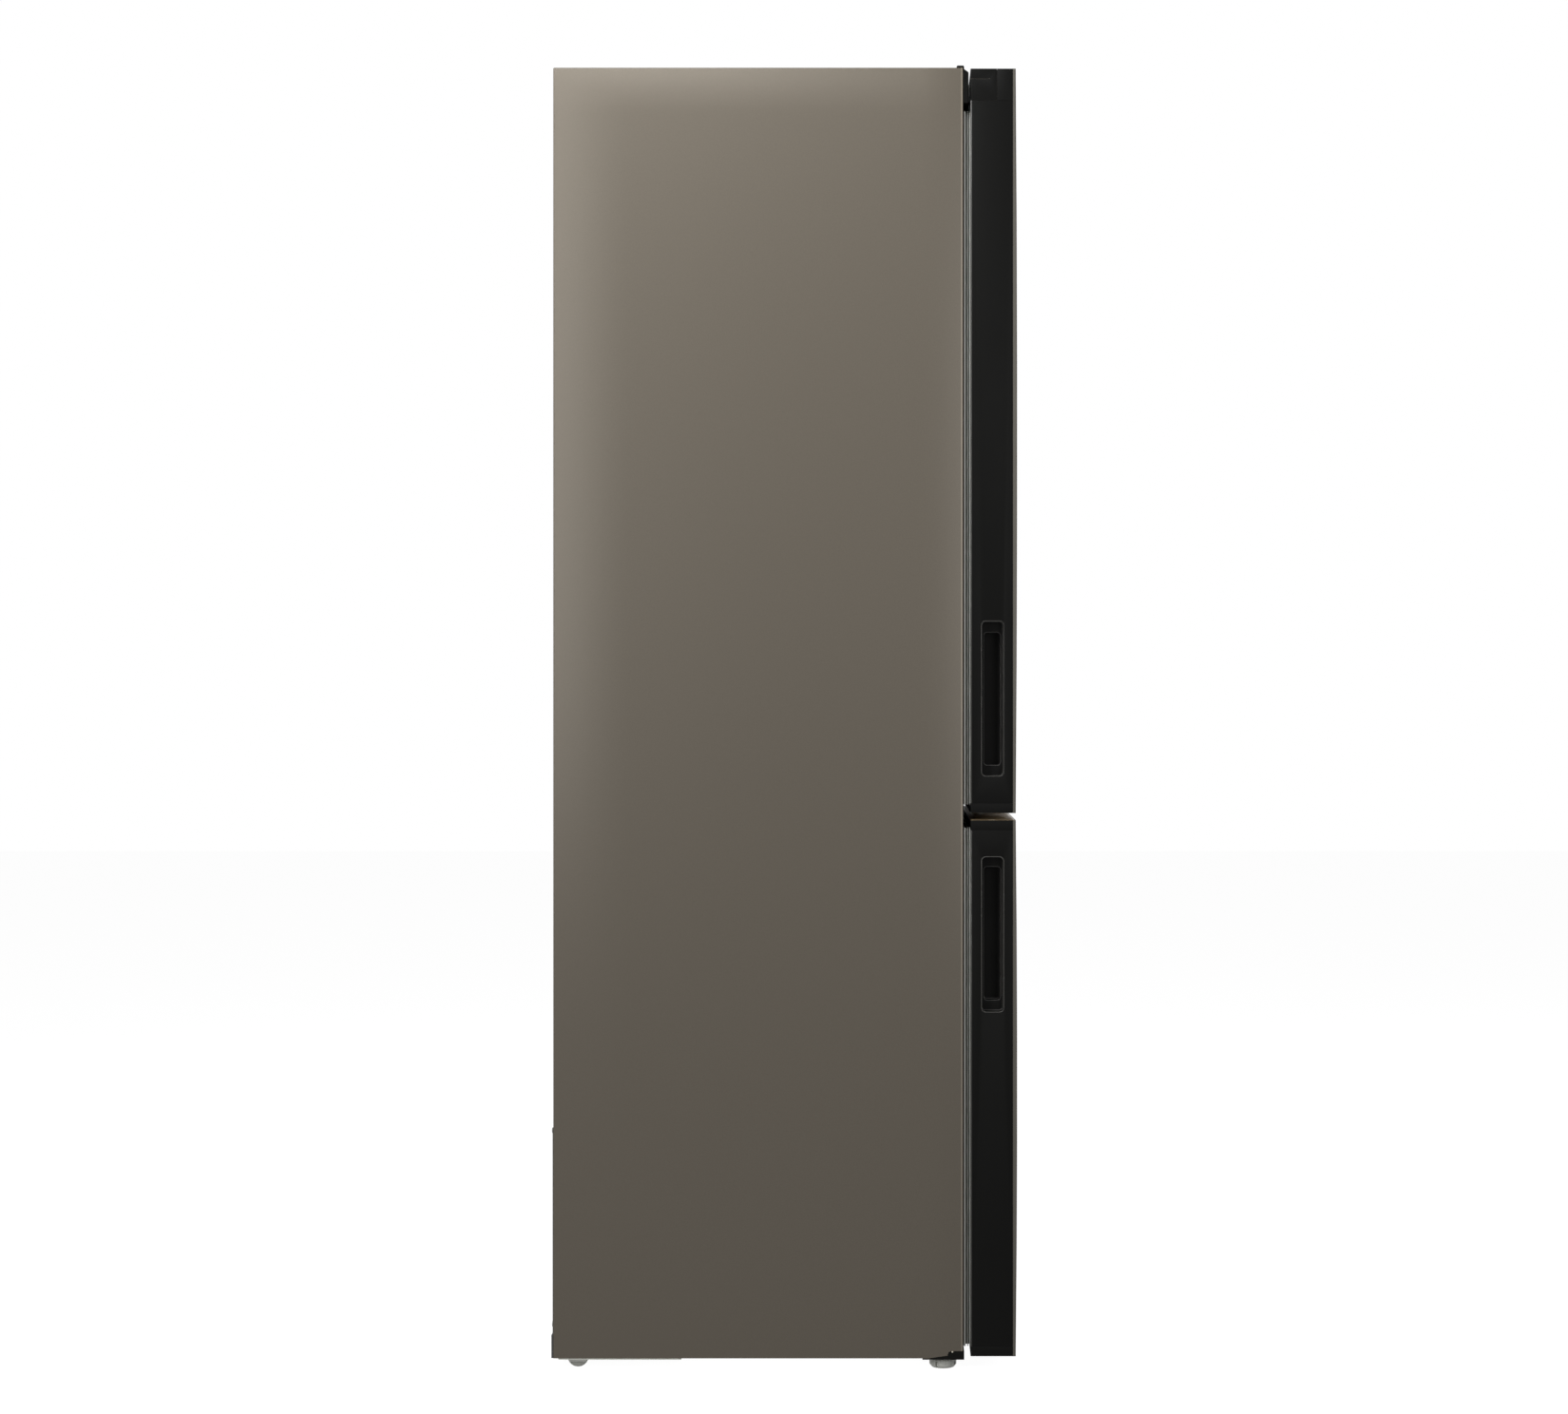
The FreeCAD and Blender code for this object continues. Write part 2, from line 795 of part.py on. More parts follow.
def make_step_plate():
    """The floor sheet: folded up in front as a rail, and stepped over the machine compartment."""
    part = body("step")
    plate_back = cabinet_back - S.steel
    outline = [
        (liner_front, cabinet_bottom),
        (machine_front + S.steel, cabinet_bottom),
        (machine_front + S.steel, machine_top - S.steel),
        (plate_back, machine_top - S.steel),
        (plate_back, machine_top),
        (machine_front, machine_top),
        (machine_front, cabinet_bottom + S.steel),
        (liner_front, cabinet_bottom + S.steel),
    ]
    pad(part, sketch(part, "YZ", 0, outline), 2 * inner_half, symmetric=True)
    rail = rect((cabinet_front, liner_front), (cabinet_bottom, cabinet_bottom + S.front_rail_height))
    pad(part, sketch(part, "YZ", 0, rail), 2 * opening_half, symmetric=True)
    holes = [circle(side * foot_x, foot_y, S.stud_hole_radius) for side in (-1, 1)]
    pocket(part, sketch(part, "XY", cabinet_bottom + S.steel, *holes), S.steel)
    keep(part, "step_plate")


def freezer_room(grow, front):
    """The freezer compartment seen from the side, grown on every side but the front."""
    return [
        (front, freezer_floor - grow),
        (freezer_step_back + grow, freezer_floor - grow),
        (freezer_step_back + grow, freezer_step_top - grow),
        (freezer_back + grow, freezer_step_top - grow),
        (freezer_back + grow, freezer_top + grow),
        (front, freezer_top + grow),
    ]


def fridge_room(grow, front):
    """The fridge compartment seen from the side, grown on every side but the front."""
    return rect((front, fridge_back + grow), (fridge_floor - grow, fridge_top + grow))


def make_cabinet_foam():
    part = body("foam")
    floor = cabinet_bottom + S.steel
    roof = cabinet_top - S.steel
    outline = [
        (foam_front, floor),
        (machine_front, floor),
        (machine_front, machine_top),
        (foam_back, machine_top),
        (foam_back, roof),
        (foam_front, roof),
    ]
    pad(part, sketch(part, "YZ", 0, outline), 2 * inner_half, symmetric=True)
    wall = S.liner_wall
    fridge = sketch(part, "YZ", 0, fridge_room(wall, foam_front))
    pocket(part, fridge, 2 * (fridge_half + wall), symmetric=True)
    freezer = sketch(part, "YZ", 0, freezer_room(wall, foam_front))
    pocket(part, freezer, 2 * (freezer_half + wall), symmetric=True)
    holes = [circle(side * foot_x, foot_y, S.stud_hole_radius) for side in (-1, 1)]
    depth = S.stud_top + S.stud_room - floor
    pocket(part, sketch(part, "XY", floor, *holes), depth, along=True)
    keep(part, "cabinet_foam")


def make_liner(name, room, room_half, flange, ledges, ledge_width, backs):
    """A vacuum-formed liner: the room's walls, a flange round its mouth and ledges on its sides."""
    part = body(name)
    wall = S.liner_wall
    pad(part, sketch(part, "YZ", 0, room(wall, liner_front)), 2 * (room_half + wall), symmetric=True)
    mouth = sketch(part, "XZ", liner_front, rect((-inner_half, inner_half), flange))
    pad(part, mouth, wall, back=True)
    pocket(part, sketch(part, "YZ", 0, room(0, liner_front)), 2 * room_half, symmetric=True)
    corners = edges(part, "Z", x=(-room_half, room_half), y=backs)
    fillet(part, corners, S.liner_corner)
    shelves = [rect(run, (level - S.ledge_height, level)) for level, run in ledges]
    pad(part, sketch(part, "YZ", 0, *shelves), 2 * room_half, symmetric=True)
    middle = 2 * (room_half - ledge_width)
    pocket(part, sketch(part, "YZ", 0, *shelves), middle, symmetric=True)
    keep(part, name)


def shelf_levels():
    """Where the glass shelves of the fridge lie."""
    return [first_shelf_level + shelf_pitch * count for count in range(SHELF_COUNT)]


def make_liners():
    run = (ledge_front, ledge_back)
    levels = [crisper_cover_level] + shelf_levels()
    flange = (gap_middle, cabinet_top - S.steel)
    fridge_ledges = [(level, run) for level in levels]
    make_liner("fridge_liner", fridge_room, fridge_half, flange, fridge_ledges, S.ledge_width,
               (fridge_back,))
    low = (ledge_front, freezer_step_back - S.liner_corner)
    high = (ledge_front, cover_front - S.liner_corner)
    ledges = [(freezer_shelf_low, low), (freezer_shelf_high, high)]
    flange = (cabinet_bottom + S.steel, gap_middle)
    make_liner("freezer_liner", freezer_room, freezer_half, flange, ledges, S.freezer_ledge_width,
               (freezer_back, freezer_step_back))


def make_center_rail():
    """The rail between the compartments, on which both gaskets close."""
    part = body("rail")
    outline = rect((-opening_half, opening_half), (freezer_top, fridge_floor))
    pad(part, sketch(part, "XZ", cabinet_front, outline), S.steel, back=True)
    keep(part, "center_rail")


def make_top_front_trim():
    """The black cover over the top of the cabinet's front, hollow for the hinge that it hides."""
    part = body("trim")
    front = cabinet_front - S.trim_depth
    bottom = S.overall_height - S.trim_drop - S.trim_lip
    lip = front + S.trim_step
    step = S.overall_height - S.trim_step_drop
    outline = [
        (front, bottom),
        (cabinet_front, bottom),
        (cabinet_front, cabinet_top),
        (cabinet_front + S.trim_roof, cabinet_top),
        (cabinet_front + S.trim_roof, S.overall_height),
        (lip, S.overall_height),
        (lip, S.overall_height - S.trim_step_lip),
        (front, step),
    ]
    pad(part, sketch(part, "YZ", 0, outline), S.overall_width, symmetric=True)
    rounds = edges(part, "Z", y=(front,)) + edges(part, "X", y=(lip,), z=(S.overall_height,))
    fillet(part, rounds + edges(part, "X", y=(cabinet_front + S.trim_roof,), z=(S.overall_height,)),
           S.trim_round)
    room = rect((front + S.trim_skin, cabinet_front), (bottom + S.trim_skin, step - S.trim_skin))
    pocket(part, sketch(part, "YZ", 0, room), S.overall_width - 2 * S.trim_skin, symmetric=True)
    reach = S.arm_half + S.trim_skin
    arm = rect((hinge_x - reach, hinge_x + reach),
               (arm_bottom - S.trim_skin, arm_bottom + S.arm_thickness + S.trim_skin))
    pocket(part, sketch(part, "XZ", front, arm), S.trim_skin)
    keep(part, "top_front_trim")


# Door hinges and the brackets under the cabinet's front corners

def hinge_base(low, high):
    """The plate that is screwed to the cabinet's front, with its two screw holes."""
    plate = box((base_inner, base_outer), (base_front, cabinet_front), (low, high))
    holes = [rod("Y", (x, base_front, z), S.screw_shank, S.base_thickness) for x, z in base_screws(low, high)]
    return cut(plate, holes)


def base_screws(low, high):
    """The places of a hinge base's two screws, above and below its arm."""
    inset = S.screw_radius + S.screw_head
    return [(base_inner + inset, low + inset), (base_inner + inset, high - inset)]


def hinge_arm(low, thickness, reach):
    """The arm from the cabinet's front to the hinge axis, with a round end."""
    bar = box((hinge_x - reach, hinge_x + reach), (hinge_y, base_front), (low, low + thickness))
    return [bar, rod("Z", (hinge_x, hinge_y, low), reach, thickness)]


def make_top_hinge():
    low = arm_bottom - S.top_base_height / 2
    high = arm_bottom + S.top_base_height / 2
    pin_low = notch_floor - S.bush_height + S.pin_clearance * 2 + S.cup_wall
    pin = rod("Z", (hinge_x, hinge_y, pin_low), S.pin_radius, arm_bottom - pin_low)
    pieces = [hinge_base(low, high)] + hinge_arm(arm_bottom, S.arm_thickness, S.arm_half) + [pin]
    keep(fuse(pieces), "top_hinge")


def make_mid_hinge():
    low = gap_middle - S.mid_arm_thickness / 2
    base = hinge_base(gap_middle - S.mid_base_height / 2, gap_middle + S.mid_base_height / 2)
    pin_low = lower_door[1] - S.pin_reach
    pin = rod("Z", (hinge_x, hinge_y, pin_low), S.pin_radius, upper_door[0] + S.pin_reach - pin_low)
    collar_low = low + S.mid_arm_thickness
    collar = rod("Z", (hinge_x, hinge_y, collar_low), S.collar_radius, upper_door[0] - S.fit_gap - collar_low)
    pieces = [base] + hinge_arm(low, S.mid_arm_thickness, S.arm_half) + [pin, collar]
    keep(fuse(pieces), "mid_hinge")


def corner_skins(side):
    """The front and side skins that close the notch in a low front corner of the cabinet."""
    plate_bottom = cabinet_bottom - S.bracket_thickness
    top = cabinet_bottom + S.notch_height
    across = (-half, -opening_half) if side < 0 else (opening_half, half)
    front = box(across, (cabinet_front - S.bracket_skin, cabinet_front), (plate_bottom, top))
    ear = body("ear")
    level = -half if side < 0 else inner_half
    pad(ear, sketch(ear, "YZ", level, corner_notch()), S.steel)
    return [front, ear]


def make_corner_bracket():
    """The bracket under the corner on the grip side, which carries a foot."""
    bottom = cabinet_bottom - S.bracket_thickness
    across = (-half, S.bracket_width - half)
    plate = box(across, (cabinet_front - S.bracket_skin, bracket_back), (bottom, cabinet_bottom))
    joined = fuse([plate] + corner_skins(-1))
    tools = [rod("Z", (-foot_x, foot_y, bottom), S.stud_radius + S.pin_clearance, S.bracket_thickness)]
    tools += [rod("Z", (x, y, bottom), S.screw_shank, S.bracket_thickness) for x, y in bracket_screws()]
    keep(cut(joined, tools), "corner_bracket")


def bracket_screws():
    """The screws that hold the corner bracket, behind the foot."""
    inset = S.screw_radius * 2
    y = bracket_back - inset
    return [(inset * 2 - half, y), (S.bracket_width - inset - half, y)]


def hinge_screws():
    """The screws that hold the bottom hinge, behind the foot."""
    inset = S.screw_radius * 4
    y = bottom_hinge_back - inset
    return [(bottom_hinge_inner + inset, y), (half - inset, y)]


def make_bottom_hinge():
    thickness = S.bottom_hinge_thickness
    bottom = cabinet_bottom - thickness
    plate = box((bottom_hinge_inner, half), (cabinet_front - S.bracket_skin, bottom_hinge_back),
                (bottom, cabinet_bottom))
    arm = box((hinge_x - S.hinge_side_inset, half), (hinge_y, cabinet_front), (bottom, cabinet_bottom))
    end = rod("Z", (hinge_x, hinge_y, bottom), S.hinge_side_inset, thickness)
    pin = rod("Z", (hinge_x, hinge_y, bottom), S.pin_radius, lower_door[0] + S.pin_reach - bottom)
    collar = rod("Z", (hinge_x, hinge_y, bottom), S.collar_radius, lower_door[0] - S.fit_gap - bottom)
    joined = fuse([plate, arm, end, pin, collar] + corner_skins(1))
    tools = [rod("Z", (foot_x, foot_y, bottom), S.stud_radius + S.pin_clearance, thickness)]
    tools += [rod("Z", (x, y, bottom), S.screw_shank, thickness) for x, y in hinge_screws()]
    keep(cut(joined, tools), "bottom_hinge")


# Doors



def make_panel(name, span):
    """The front sheet of a door, bowed a little from end to end, with returns along its sides."""
    part = body(name)
    outside = [
        (return_back, span[0]),
        (door_front, span[0], S.door_crown),
        (door_front, span[1]),
        (return_back, span[1]),
    ]
    pad(part, sketch(part, "YZ", 0, outside), S.overall_width, symmetric=True)
    fillet(part, edges(part, "Z", x=(-half, half), y=(door_front,)), S.panel_edge)
    skin = door_front + S.panel_sheet
    inside = [
        (return_back, span[0]),
        (skin, span[0], S.door_crown),
        (skin, span[1]),
        (return_back, span[1]),
    ]
    room = 2 * (half - S.panel_sheet)
    pocket(part, sketch(part, "YZ", 0, inside), room, symmetric=True)
    keep(part, name)


def cap_outline():
    """A door's end cap from above: full width behind the panel's returns, and between them in front."""
    skin = half - S.panel_sheet
    front = door_front + S.panel_sheet
    return [
        (-half, door_back),
        (-half, return_back),
        (-skin, return_back),
        (-skin, front),
        (skin, front),
        (skin, return_back),
        (half, return_back),
        (half, door_back),
    ]


def plain_cap(name, low, bore_low):
    """A door's end cap with the bore for its hinge pin."""
    part = body(name)
    pad(part, sketch(part, "XY", low, cap_outline()), S.cap_height)
    fillet(part, edges(part, "Z", x=(half,), y=(door_back,)), S.hinge_corner)
    fillet(part, edges(part, "Z", x=(-half,), y=(door_back,)), S.trim_edge)
    bore = circle(hinge_x, hinge_y, S.pin_radius + S.pin_clearance)
    pocket(part, sketch(part, "XY", bore_low, bore), S.bore_depth, along=True)
    return part


def top_cap(name):
    """The top cap of the upper door: a notch in each rear corner, a post before it and a bush block."""
    part = body(name)
    low = upper_door[1] - S.cap_height
    pad(part, sketch(part, "XY", low, cap_outline()), S.cap_height)
    inside = notch_side - S.corner_wall
    posts = []
    walls = []
    blocks = []
    notches = []
    for side in (-1, 1):
        outer, inner, wall = side * half, side * inside, side * notch_side
        posts.append(rect((inner, outer), (return_back, notch_front)))
        walls.append(rect((inner, wall), (notch_front, door_back)))
        trim = side * (half - S.trim_wall)
        blocks.append(rect((inner, trim), (return_back + S.trim_wall, door_back - S.hinge_corner)))
        notches.append(rect((wall, outer), (notch_front, door_back)))
    pad(part, sketch(part, "XY", notch_floor, *posts), low - notch_floor)
    pad(part, sketch(part, "XY", notch_floor, *walls), low - notch_floor)
    pad(part, sketch(part, "XY", notch_floor - S.bush_height, *blocks), S.bush_height)
    pocket(part, sketch(part, "XY", notch_floor, *notches), S.corner_height, along=True)
    bore = circle(hinge_x, hinge_y, S.pin_radius + S.pin_clearance)
    pocket(part, sketch(part, "XY", notch_floor, bore), S.bush_height - S.cup_wall)
    return part


def make_corner_cap():
    """The cap that fills the notch on the side without a hinge, with a seam across it."""
    part = body("filler")
    gap = S.fit_gap
    outline = rect((-half, -notch_side - gap), (notch_front + gap, door_back))
    low = notch_floor + gap
    pad(part, sketch(part, "XY", low, outline), S.corner_height - gap)
    fillet(part, edges(part, "Z", x=(-half,), y=(door_back,)), S.trim_edge)
    seam_low = upper_door[1] - S.cap_height - S.corner_seam
    seam = rect((door_back - S.corner_width, door_back), (seam_low, seam_low + S.corner_seam))
    pocket(part, sketch(part, "YZ", -half, seam), S.corner_seam, along=True)
    keep(part, "fridge_door_corner_cap")


def make_side_trims(name, low, high, grip_span):
    """The two channels along a door's sides, the one at -X with the opening for the hand grip."""
    opening = body(name + "_opening")
    outline = rect((-half, -core_half), (return_back, door_back))
    pad(opening, sketch(opening, "XY", low, outline), high - low)
    fillet(opening, edges(opening, "Z", x=(-half,), y=(door_back,)), S.trim_edge)
    wall = S.trim_wall
    channel = rect((wall - half, -core_half), (return_back + wall, door_back - wall))
    pocket(opening, sketch(opening, "XY", low, channel), high - low, along=True)
    window = rect(grip_across(0), grip_span)
    pocket(opening, sketch(opening, "YZ", -half, window), wall, along=True)
    sides = edges(opening, "X", y=grip_across(0), z=grip_span)
    fillet(opening, sides, S.grip_radius)
    hinge = body(name + "_hinge")
    outline = rect((core_half, half), (return_back, door_back))
    pad(hinge, sketch(hinge, "XY", low, outline), high - low)
    fillet(hinge, edges(hinge, "Z", x=(half,), y=(door_back,)), S.hinge_corner)
    hollow(hinge, [(-1, 0, 0), (0, 0, 1), (0, 0, -1)], wall)
    keep(group([opening, hinge], name + "_pair"), name)


def grip_across(grow):
    """The hand grip's front and back, grown by a wall."""
    back = door_back - S.grip_back_inset
    return (back - S.grip_width - grow, back + grow)


def make_door_foam(name, span, grip_span, corner_blocks):
    """A door's insulation, with the room for the grip cup and the caps."""
    part = body(name)
    low, high = span[0] + S.cap_height, span[1] - S.cap_height
    back = door_back - S.liner_wall
    inside = notch_side - S.corner_wall
    if corner_blocks:
        shoulder = notch_floor - S.bush_height
        outline = [
            (-core_half, low),
            (core_half, low),
            (core_half, shoulder),
            (inside, shoulder),
            (inside, high),
            (-inside, high),
            (-inside, shoulder),
            (-core_half, shoulder),
        ]
    else:
        outline = rect((-core_half, core_half), (low, high))
    pad(part, sketch(part, "XZ", return_back, outline), back - return_back, back=True)
    skin = door_front + S.panel_sheet
    top = notch_floor if corner_blocks else high
    room = 2 * (half - S.panel_sheet)
    front = [(return_back, span[0]), (skin, span[0], S.door_crown), (skin, span[1]), (return_back, span[1])]
    pad(part, sketch(part, "YZ", 0, front), room, symmetric=True)
    across = (door_front, return_back)
    ends = [rect(across, (span[0], low)), rect(across, (top, span[1]))]
    pocket(part, sketch(part, "YZ", 0, *ends), room, symmetric=True)
    depth = cup_depth - S.trim_width
    cup = rect(grip_across(S.cup_wall), (grip_span[0] - S.cup_wall, grip_span[1] + S.cup_wall))
    pocket(part, sketch(part, "YZ", -core_half, cup), depth, along=True)
    keep(part, name)




def make_grip(name, span):
    """The moulded cup in a door's edge: a long recess with a deeper finger pocket in its floor."""
    part = body(name)
    wall = S.cup_wall
    flange = S.trim_wall
    pad(part, sketch(part, "YZ", -half, rect(grip_across(0), span)), flange)
    outer = (span[0] - wall, span[1] + wall)
    pad(part, sketch(part, "YZ", flange - half, rect(grip_across(wall), outer)), cup_depth - flange)
    middle_y = (grip_across(0)[0] + grip_across(0)[1]) / 2
    middle_z = (span[0] + span[1]) / 2
    lip = S.corner_seam * 2
    rim_y = (grip_across(0)[0] + lip, grip_across(0)[1] - lip)
    rim_z = (span[0] + lip, span[1] - lip)
    pocket(part, sketch(part, "YZ", -half, rect(rim_y, rim_z)), S.grip_rim_depth, along=True)
    fillet(part, edges(part, "X", y=rim_y, z=rim_z), S.grip_radius - lip)
    fillet(part, edges(part, "X", y=grip_across(0), z=span), S.grip_radius)
    pocket_y = (middle_y - S.pocket_width / 2, middle_y + S.pocket_width / 2)
    pocket_z = (middle_z - S.pocket_length / 2, middle_z + S.pocket_length / 2)
    level = S.grip_rim_depth - half
    pocket(part, sketch(part, "YZ", level, rect(pocket_y, pocket_z)), S.pocket_depth, along=True)
    fillet(part, edges(part, "X", y=pocket_y, z=pocket_z), S.pocket_radius)
    keep(part, name)


def make_gasket(name, low, high):
    """The bellows seal round a door, mitred at its four corners."""
    part = body(name)
    seal_half = half - S.gasket_side_inset
    spine = sketch(part, "XZ", door_back, rect((-seal_half, seal_half), (low, high)))
    depth = S.seal_gap - S.fit_gap
    points = [(S.gasket_width * across - seal_half, door_back + depth * out) for across, out in BELLOWS_SHARES]
    profile = sketch(part, "XY", (low + high) / 2, points)
    pipe = part.newObject("PartDesign::AdditivePipe", name + "_pipe")
    pipe.Profile = profile
    pipe.Spine = (spine, [f"Edge{count}" for count in range(1, 5)])
    pipe.Transition = "Right corner"
    keep(part, name)


def make_fridge_door_liner():
    """The upper door's inner sheet, with a raised rim that the bins hang between."""
    part = body("fridge_inner")
    wall = S.liner_wall
    low, high = upper_door[0] + S.cap_height, notch_floor - S.bush_height
    pad(part, sketch(part, "XZ", door_back - wall, rect((-core_half, core_half), (low, high))), wall, back=True)
    upper = rect((S.corner_wall - notch_side, notch_side - S.corner_wall), (high, upper_door[1] - S.cap_height))
    pad(part, sketch(part, "XZ", door_back - wall, upper), wall, back=True)
    bottom = fridge_floor + S.dyke_clearance
    top = fridge_top - S.dyke_clearance
    outer = rect((-dyke_half, dyke_half), (bottom, top))
    inner_x = dyke_half - S.dyke_width
    inner = rect((-inner_x, inner_x), (bottom + S.dyke_width / 2, top - S.dyke_width / 2))
    pad(part, sketch(part, "XZ", door_back, outer, inner), S.dyke_reach, back=True)
    reach = door_back + S.dyke_reach
    rims = edges(part, "Z", x=(-dyke_half, dyke_half), y=(reach,))
    rims += edges(part, "X", y=(reach,), z=(bottom, top))
    fillet(part, rims, S.dyke_edge)
    skin = S.dyke_wall
    core = rect((skin - dyke_half, dyke_half - skin), (bottom + skin, top - skin))
    end = S.dyke_width / 2 - skin
    hole = rect((-inner_x - skin, inner_x + skin), (bottom + end, top - end))
    depth = wall + S.dyke_reach - S.dyke_edge
    pocket(part, sketch(part, "XZ", door_back - wall, core, hole), depth)
    keep(part, "fridge_door_liner")


def make_freezer_door_liner():
    """The lower door's inner sheet, with a shallow raised field inside its gasket."""
    part = body("freezer_inner")
    wall = S.liner_wall
    low, high = lower_door[0] + S.cap_height, lower_door[1] - S.cap_height
    pad(part, sketch(part, "XZ", door_back - wall, rect((-core_half, core_half), (low, high))), wall, back=True)
    bottom, top = freezer_floor + S.pad_clearance, freezer_top - S.pad_clearance
    field = rect((-pad_half, pad_half), (bottom, top))
    pad(part, sketch(part, "XZ", door_back, field), S.pad_reach, back=True)
    reach = door_back + S.pad_reach
    rims = edges(part, "Z", x=(-pad_half, pad_half), y=(reach,)) + edges(part, "X", y=(reach,))
    fillet(part, rims, S.dyke_edge)
    skin = S.dyke_wall
    core = rect((skin + S.dyke_edge - pad_half, pad_half - skin - S.dyke_edge),
                (bottom + skin + S.dyke_edge, top - skin - S.dyke_edge))
    pocket(part, sketch(part, "XZ", door_back - wall, core), wall + S.pad_reach - skin)
    keep(part, "freezer_door_liner")


def make_bin(name, level, front_height, back_height):
    """A door bin: drafted front, high back, rounded outer corners and one wall all round."""
    part = body(name)
    back = door_back + S.fit_gap
    reach = door_back + S.bin_reach
    across = dyke_half - S.dyke_width - S.fit_gap
    outline = [
        (back, level),
        (reach - S.bin_draft, level),
        (reach, level + front_height),
        (back, level + back_height),
    ]
    pad(part, sketch(part, "YZ", 0, outline), 2 * across, symmetric=True)
    shape = part.Tip
    doc.recompute()
    fronts = []
    for number, edge in enumerate(shape.Shape.Edges, start=1):
        ends = sorted(point.Point.z for point in edge.Vertexes)
        slanted = near(ends[0], (level,)) and near(ends[1], (level + front_height,))
        if slanted and abs(edge.Vertexes[0].Point.x) > float(across) - TOUCH:
            fronts.append(f"Edge{number}")
    fillet(part, fronts, S.bin_corner)
    slope = FreeCAD.Vector(0, float(back_height - front_height), float(reach - back)).normalize()
    hollow(part, [tuple(slope)], S.bin_wall)
    keep(part, name)


def make_fridge_door():
    make_panel("fridge_door_panel", upper_door)
    grip_low = upper_door[0] + S.grip_end_inset
    grip_span = (grip_low, grip_low + S.grip_length)
    make_side_trims("fridge_door_side_trims", upper_door[0] + S.cap_height, notch_floor, grip_span)
    bottom = plain_cap("fridge_bottom_cap", upper_door[0], upper_door[0])
    keep(group([top_cap("fridge_top_cap"), bottom], "fridge_caps"), "fridge_door_end_caps")
    make_corner_cap()
    make_door_foam("fridge_door_foam", upper_door, grip_span, True)
    make_fridge_door_liner()
    make_gasket("fridge_door_gasket", upper_door[0] + S.gasket_end_inset, upper_door[1] - S.gasket_top_inset)
    make_grip("fridge_door_grip", grip_span)
    make_bin("bottle_bin", bottle_bin_level, S.bottle_front_height, S.bottle_back_height)
    for count, name in enumerate(("door_bin_lower", "door_bin_middle", "door_bin_upper")[:BIN_COUNT]):
        make_bin(name, lower_bin_level + bin_pitch * count, S.bin_front_height, S.bin_back_height)


def make_freezer_door():
    make_panel("freezer_door_panel", lower_door)
    grip_high = lower_door[1] - S.grip_end_inset
    grip_span = (grip_high - S.grip_length, grip_high)
    low, high = lower_door[0] + S.cap_height, lower_door[1] - S.cap_height
    make_side_trims("freezer_door_side_trims", low, high, grip_span)
    bottom = plain_cap("freezer_bottom_cap", lower_door[0], lower_door[0])
    top = plain_cap("freezer_top_cap", high, lower_door[1] - S.bore_depth)
    keep(group([top, bottom], "freezer_caps"), "freezer_door_end_caps")
    make_door_foam("freezer_door_foam", lower_door, grip_span, False)
    make_freezer_door_liner()
    inset = S.gasket_end_inset
    make_gasket("freezer_door_gasket", lower_door[0] + inset, lower_door[1] - inset)
    make_grip("freezer_door_grip", grip_span)


# Shelves, drawers, air duct and lamp

def pane(room_half, run, level):
    """A glass pane that lies on its ledges."""
    return box((-room_half + S.trim_skin, room_half - S.trim_skin), run, (level, level + S.glass), "pane")


def make_glass_shelves():
    run = (shelf_front + S.shelf_lip_depth - S.shelf_slot, shelf_back)
    panes = [pane(fridge_half, run, level) for level in shelf_levels()]
    low = (freezer_shelf_front, freezer_step_back - S.liner_corner)
    high = (freezer_shelf_front, cover_front - S.trim_skin)
    panes.append(pane(freezer_half, low, freezer_shelf_low))
    panes.append(pane(freezer_half, high, freezer_shelf_high))
    keep(group(panes, "panes"), "glass_shelves")


def shelf_lip(level):
    """The lip along a shelf's front edge, with a slot that takes the glass."""
    part = body("lip")
    low = level - (S.shelf_lip_height - S.glass) / 2
    high = low + S.shelf_lip_height
    back = shelf_front + S.shelf_lip_depth
    slot = back - S.shelf_slot
    outline = [
        (shelf_front, low),
        (back, low),
        (back, level),
        (slot, level),
        (slot, level + S.glass),
        (back, level + S.glass),
        (back, high),
        (shelf_front, high),
    ]
    width = 2 * (fridge_half - S.trim_skin)
    pad(part, sketch(part, "YZ", 0, outline), width, symmetric=True)
    fillet(part, edges(part, "X", y=(shelf_front,)), S.trim_skin * 2)
    return part


def make_shelf_trims():
    keep(group([shelf_lip(level) for level in shelf_levels()], "lips"), "shelf_trims")


def make_crisper_cover():
    """The plate over the crisper, with a lip turned down in front."""
    part = body("crisper_top")
    low = crisper_cover_level
    top = low + S.glass
    front = shelf_front + S.trim_skin
    outline = [
        (front, low - S.glass),
        (front + S.glass, low - S.glass),
        (front + S.glass, low),
        (shelf_back, low),
        (shelf_back, top),
        (front, top),
    ]
    width = 2 * (fridge_half - S.trim_skin)
    pad(part, sketch(part, "YZ", 0, outline), width, symmetric=True)
    fillet(part, edges(part, "X", y=(front,)), S.trim_skin)
    keep(part, "crisper_cover")


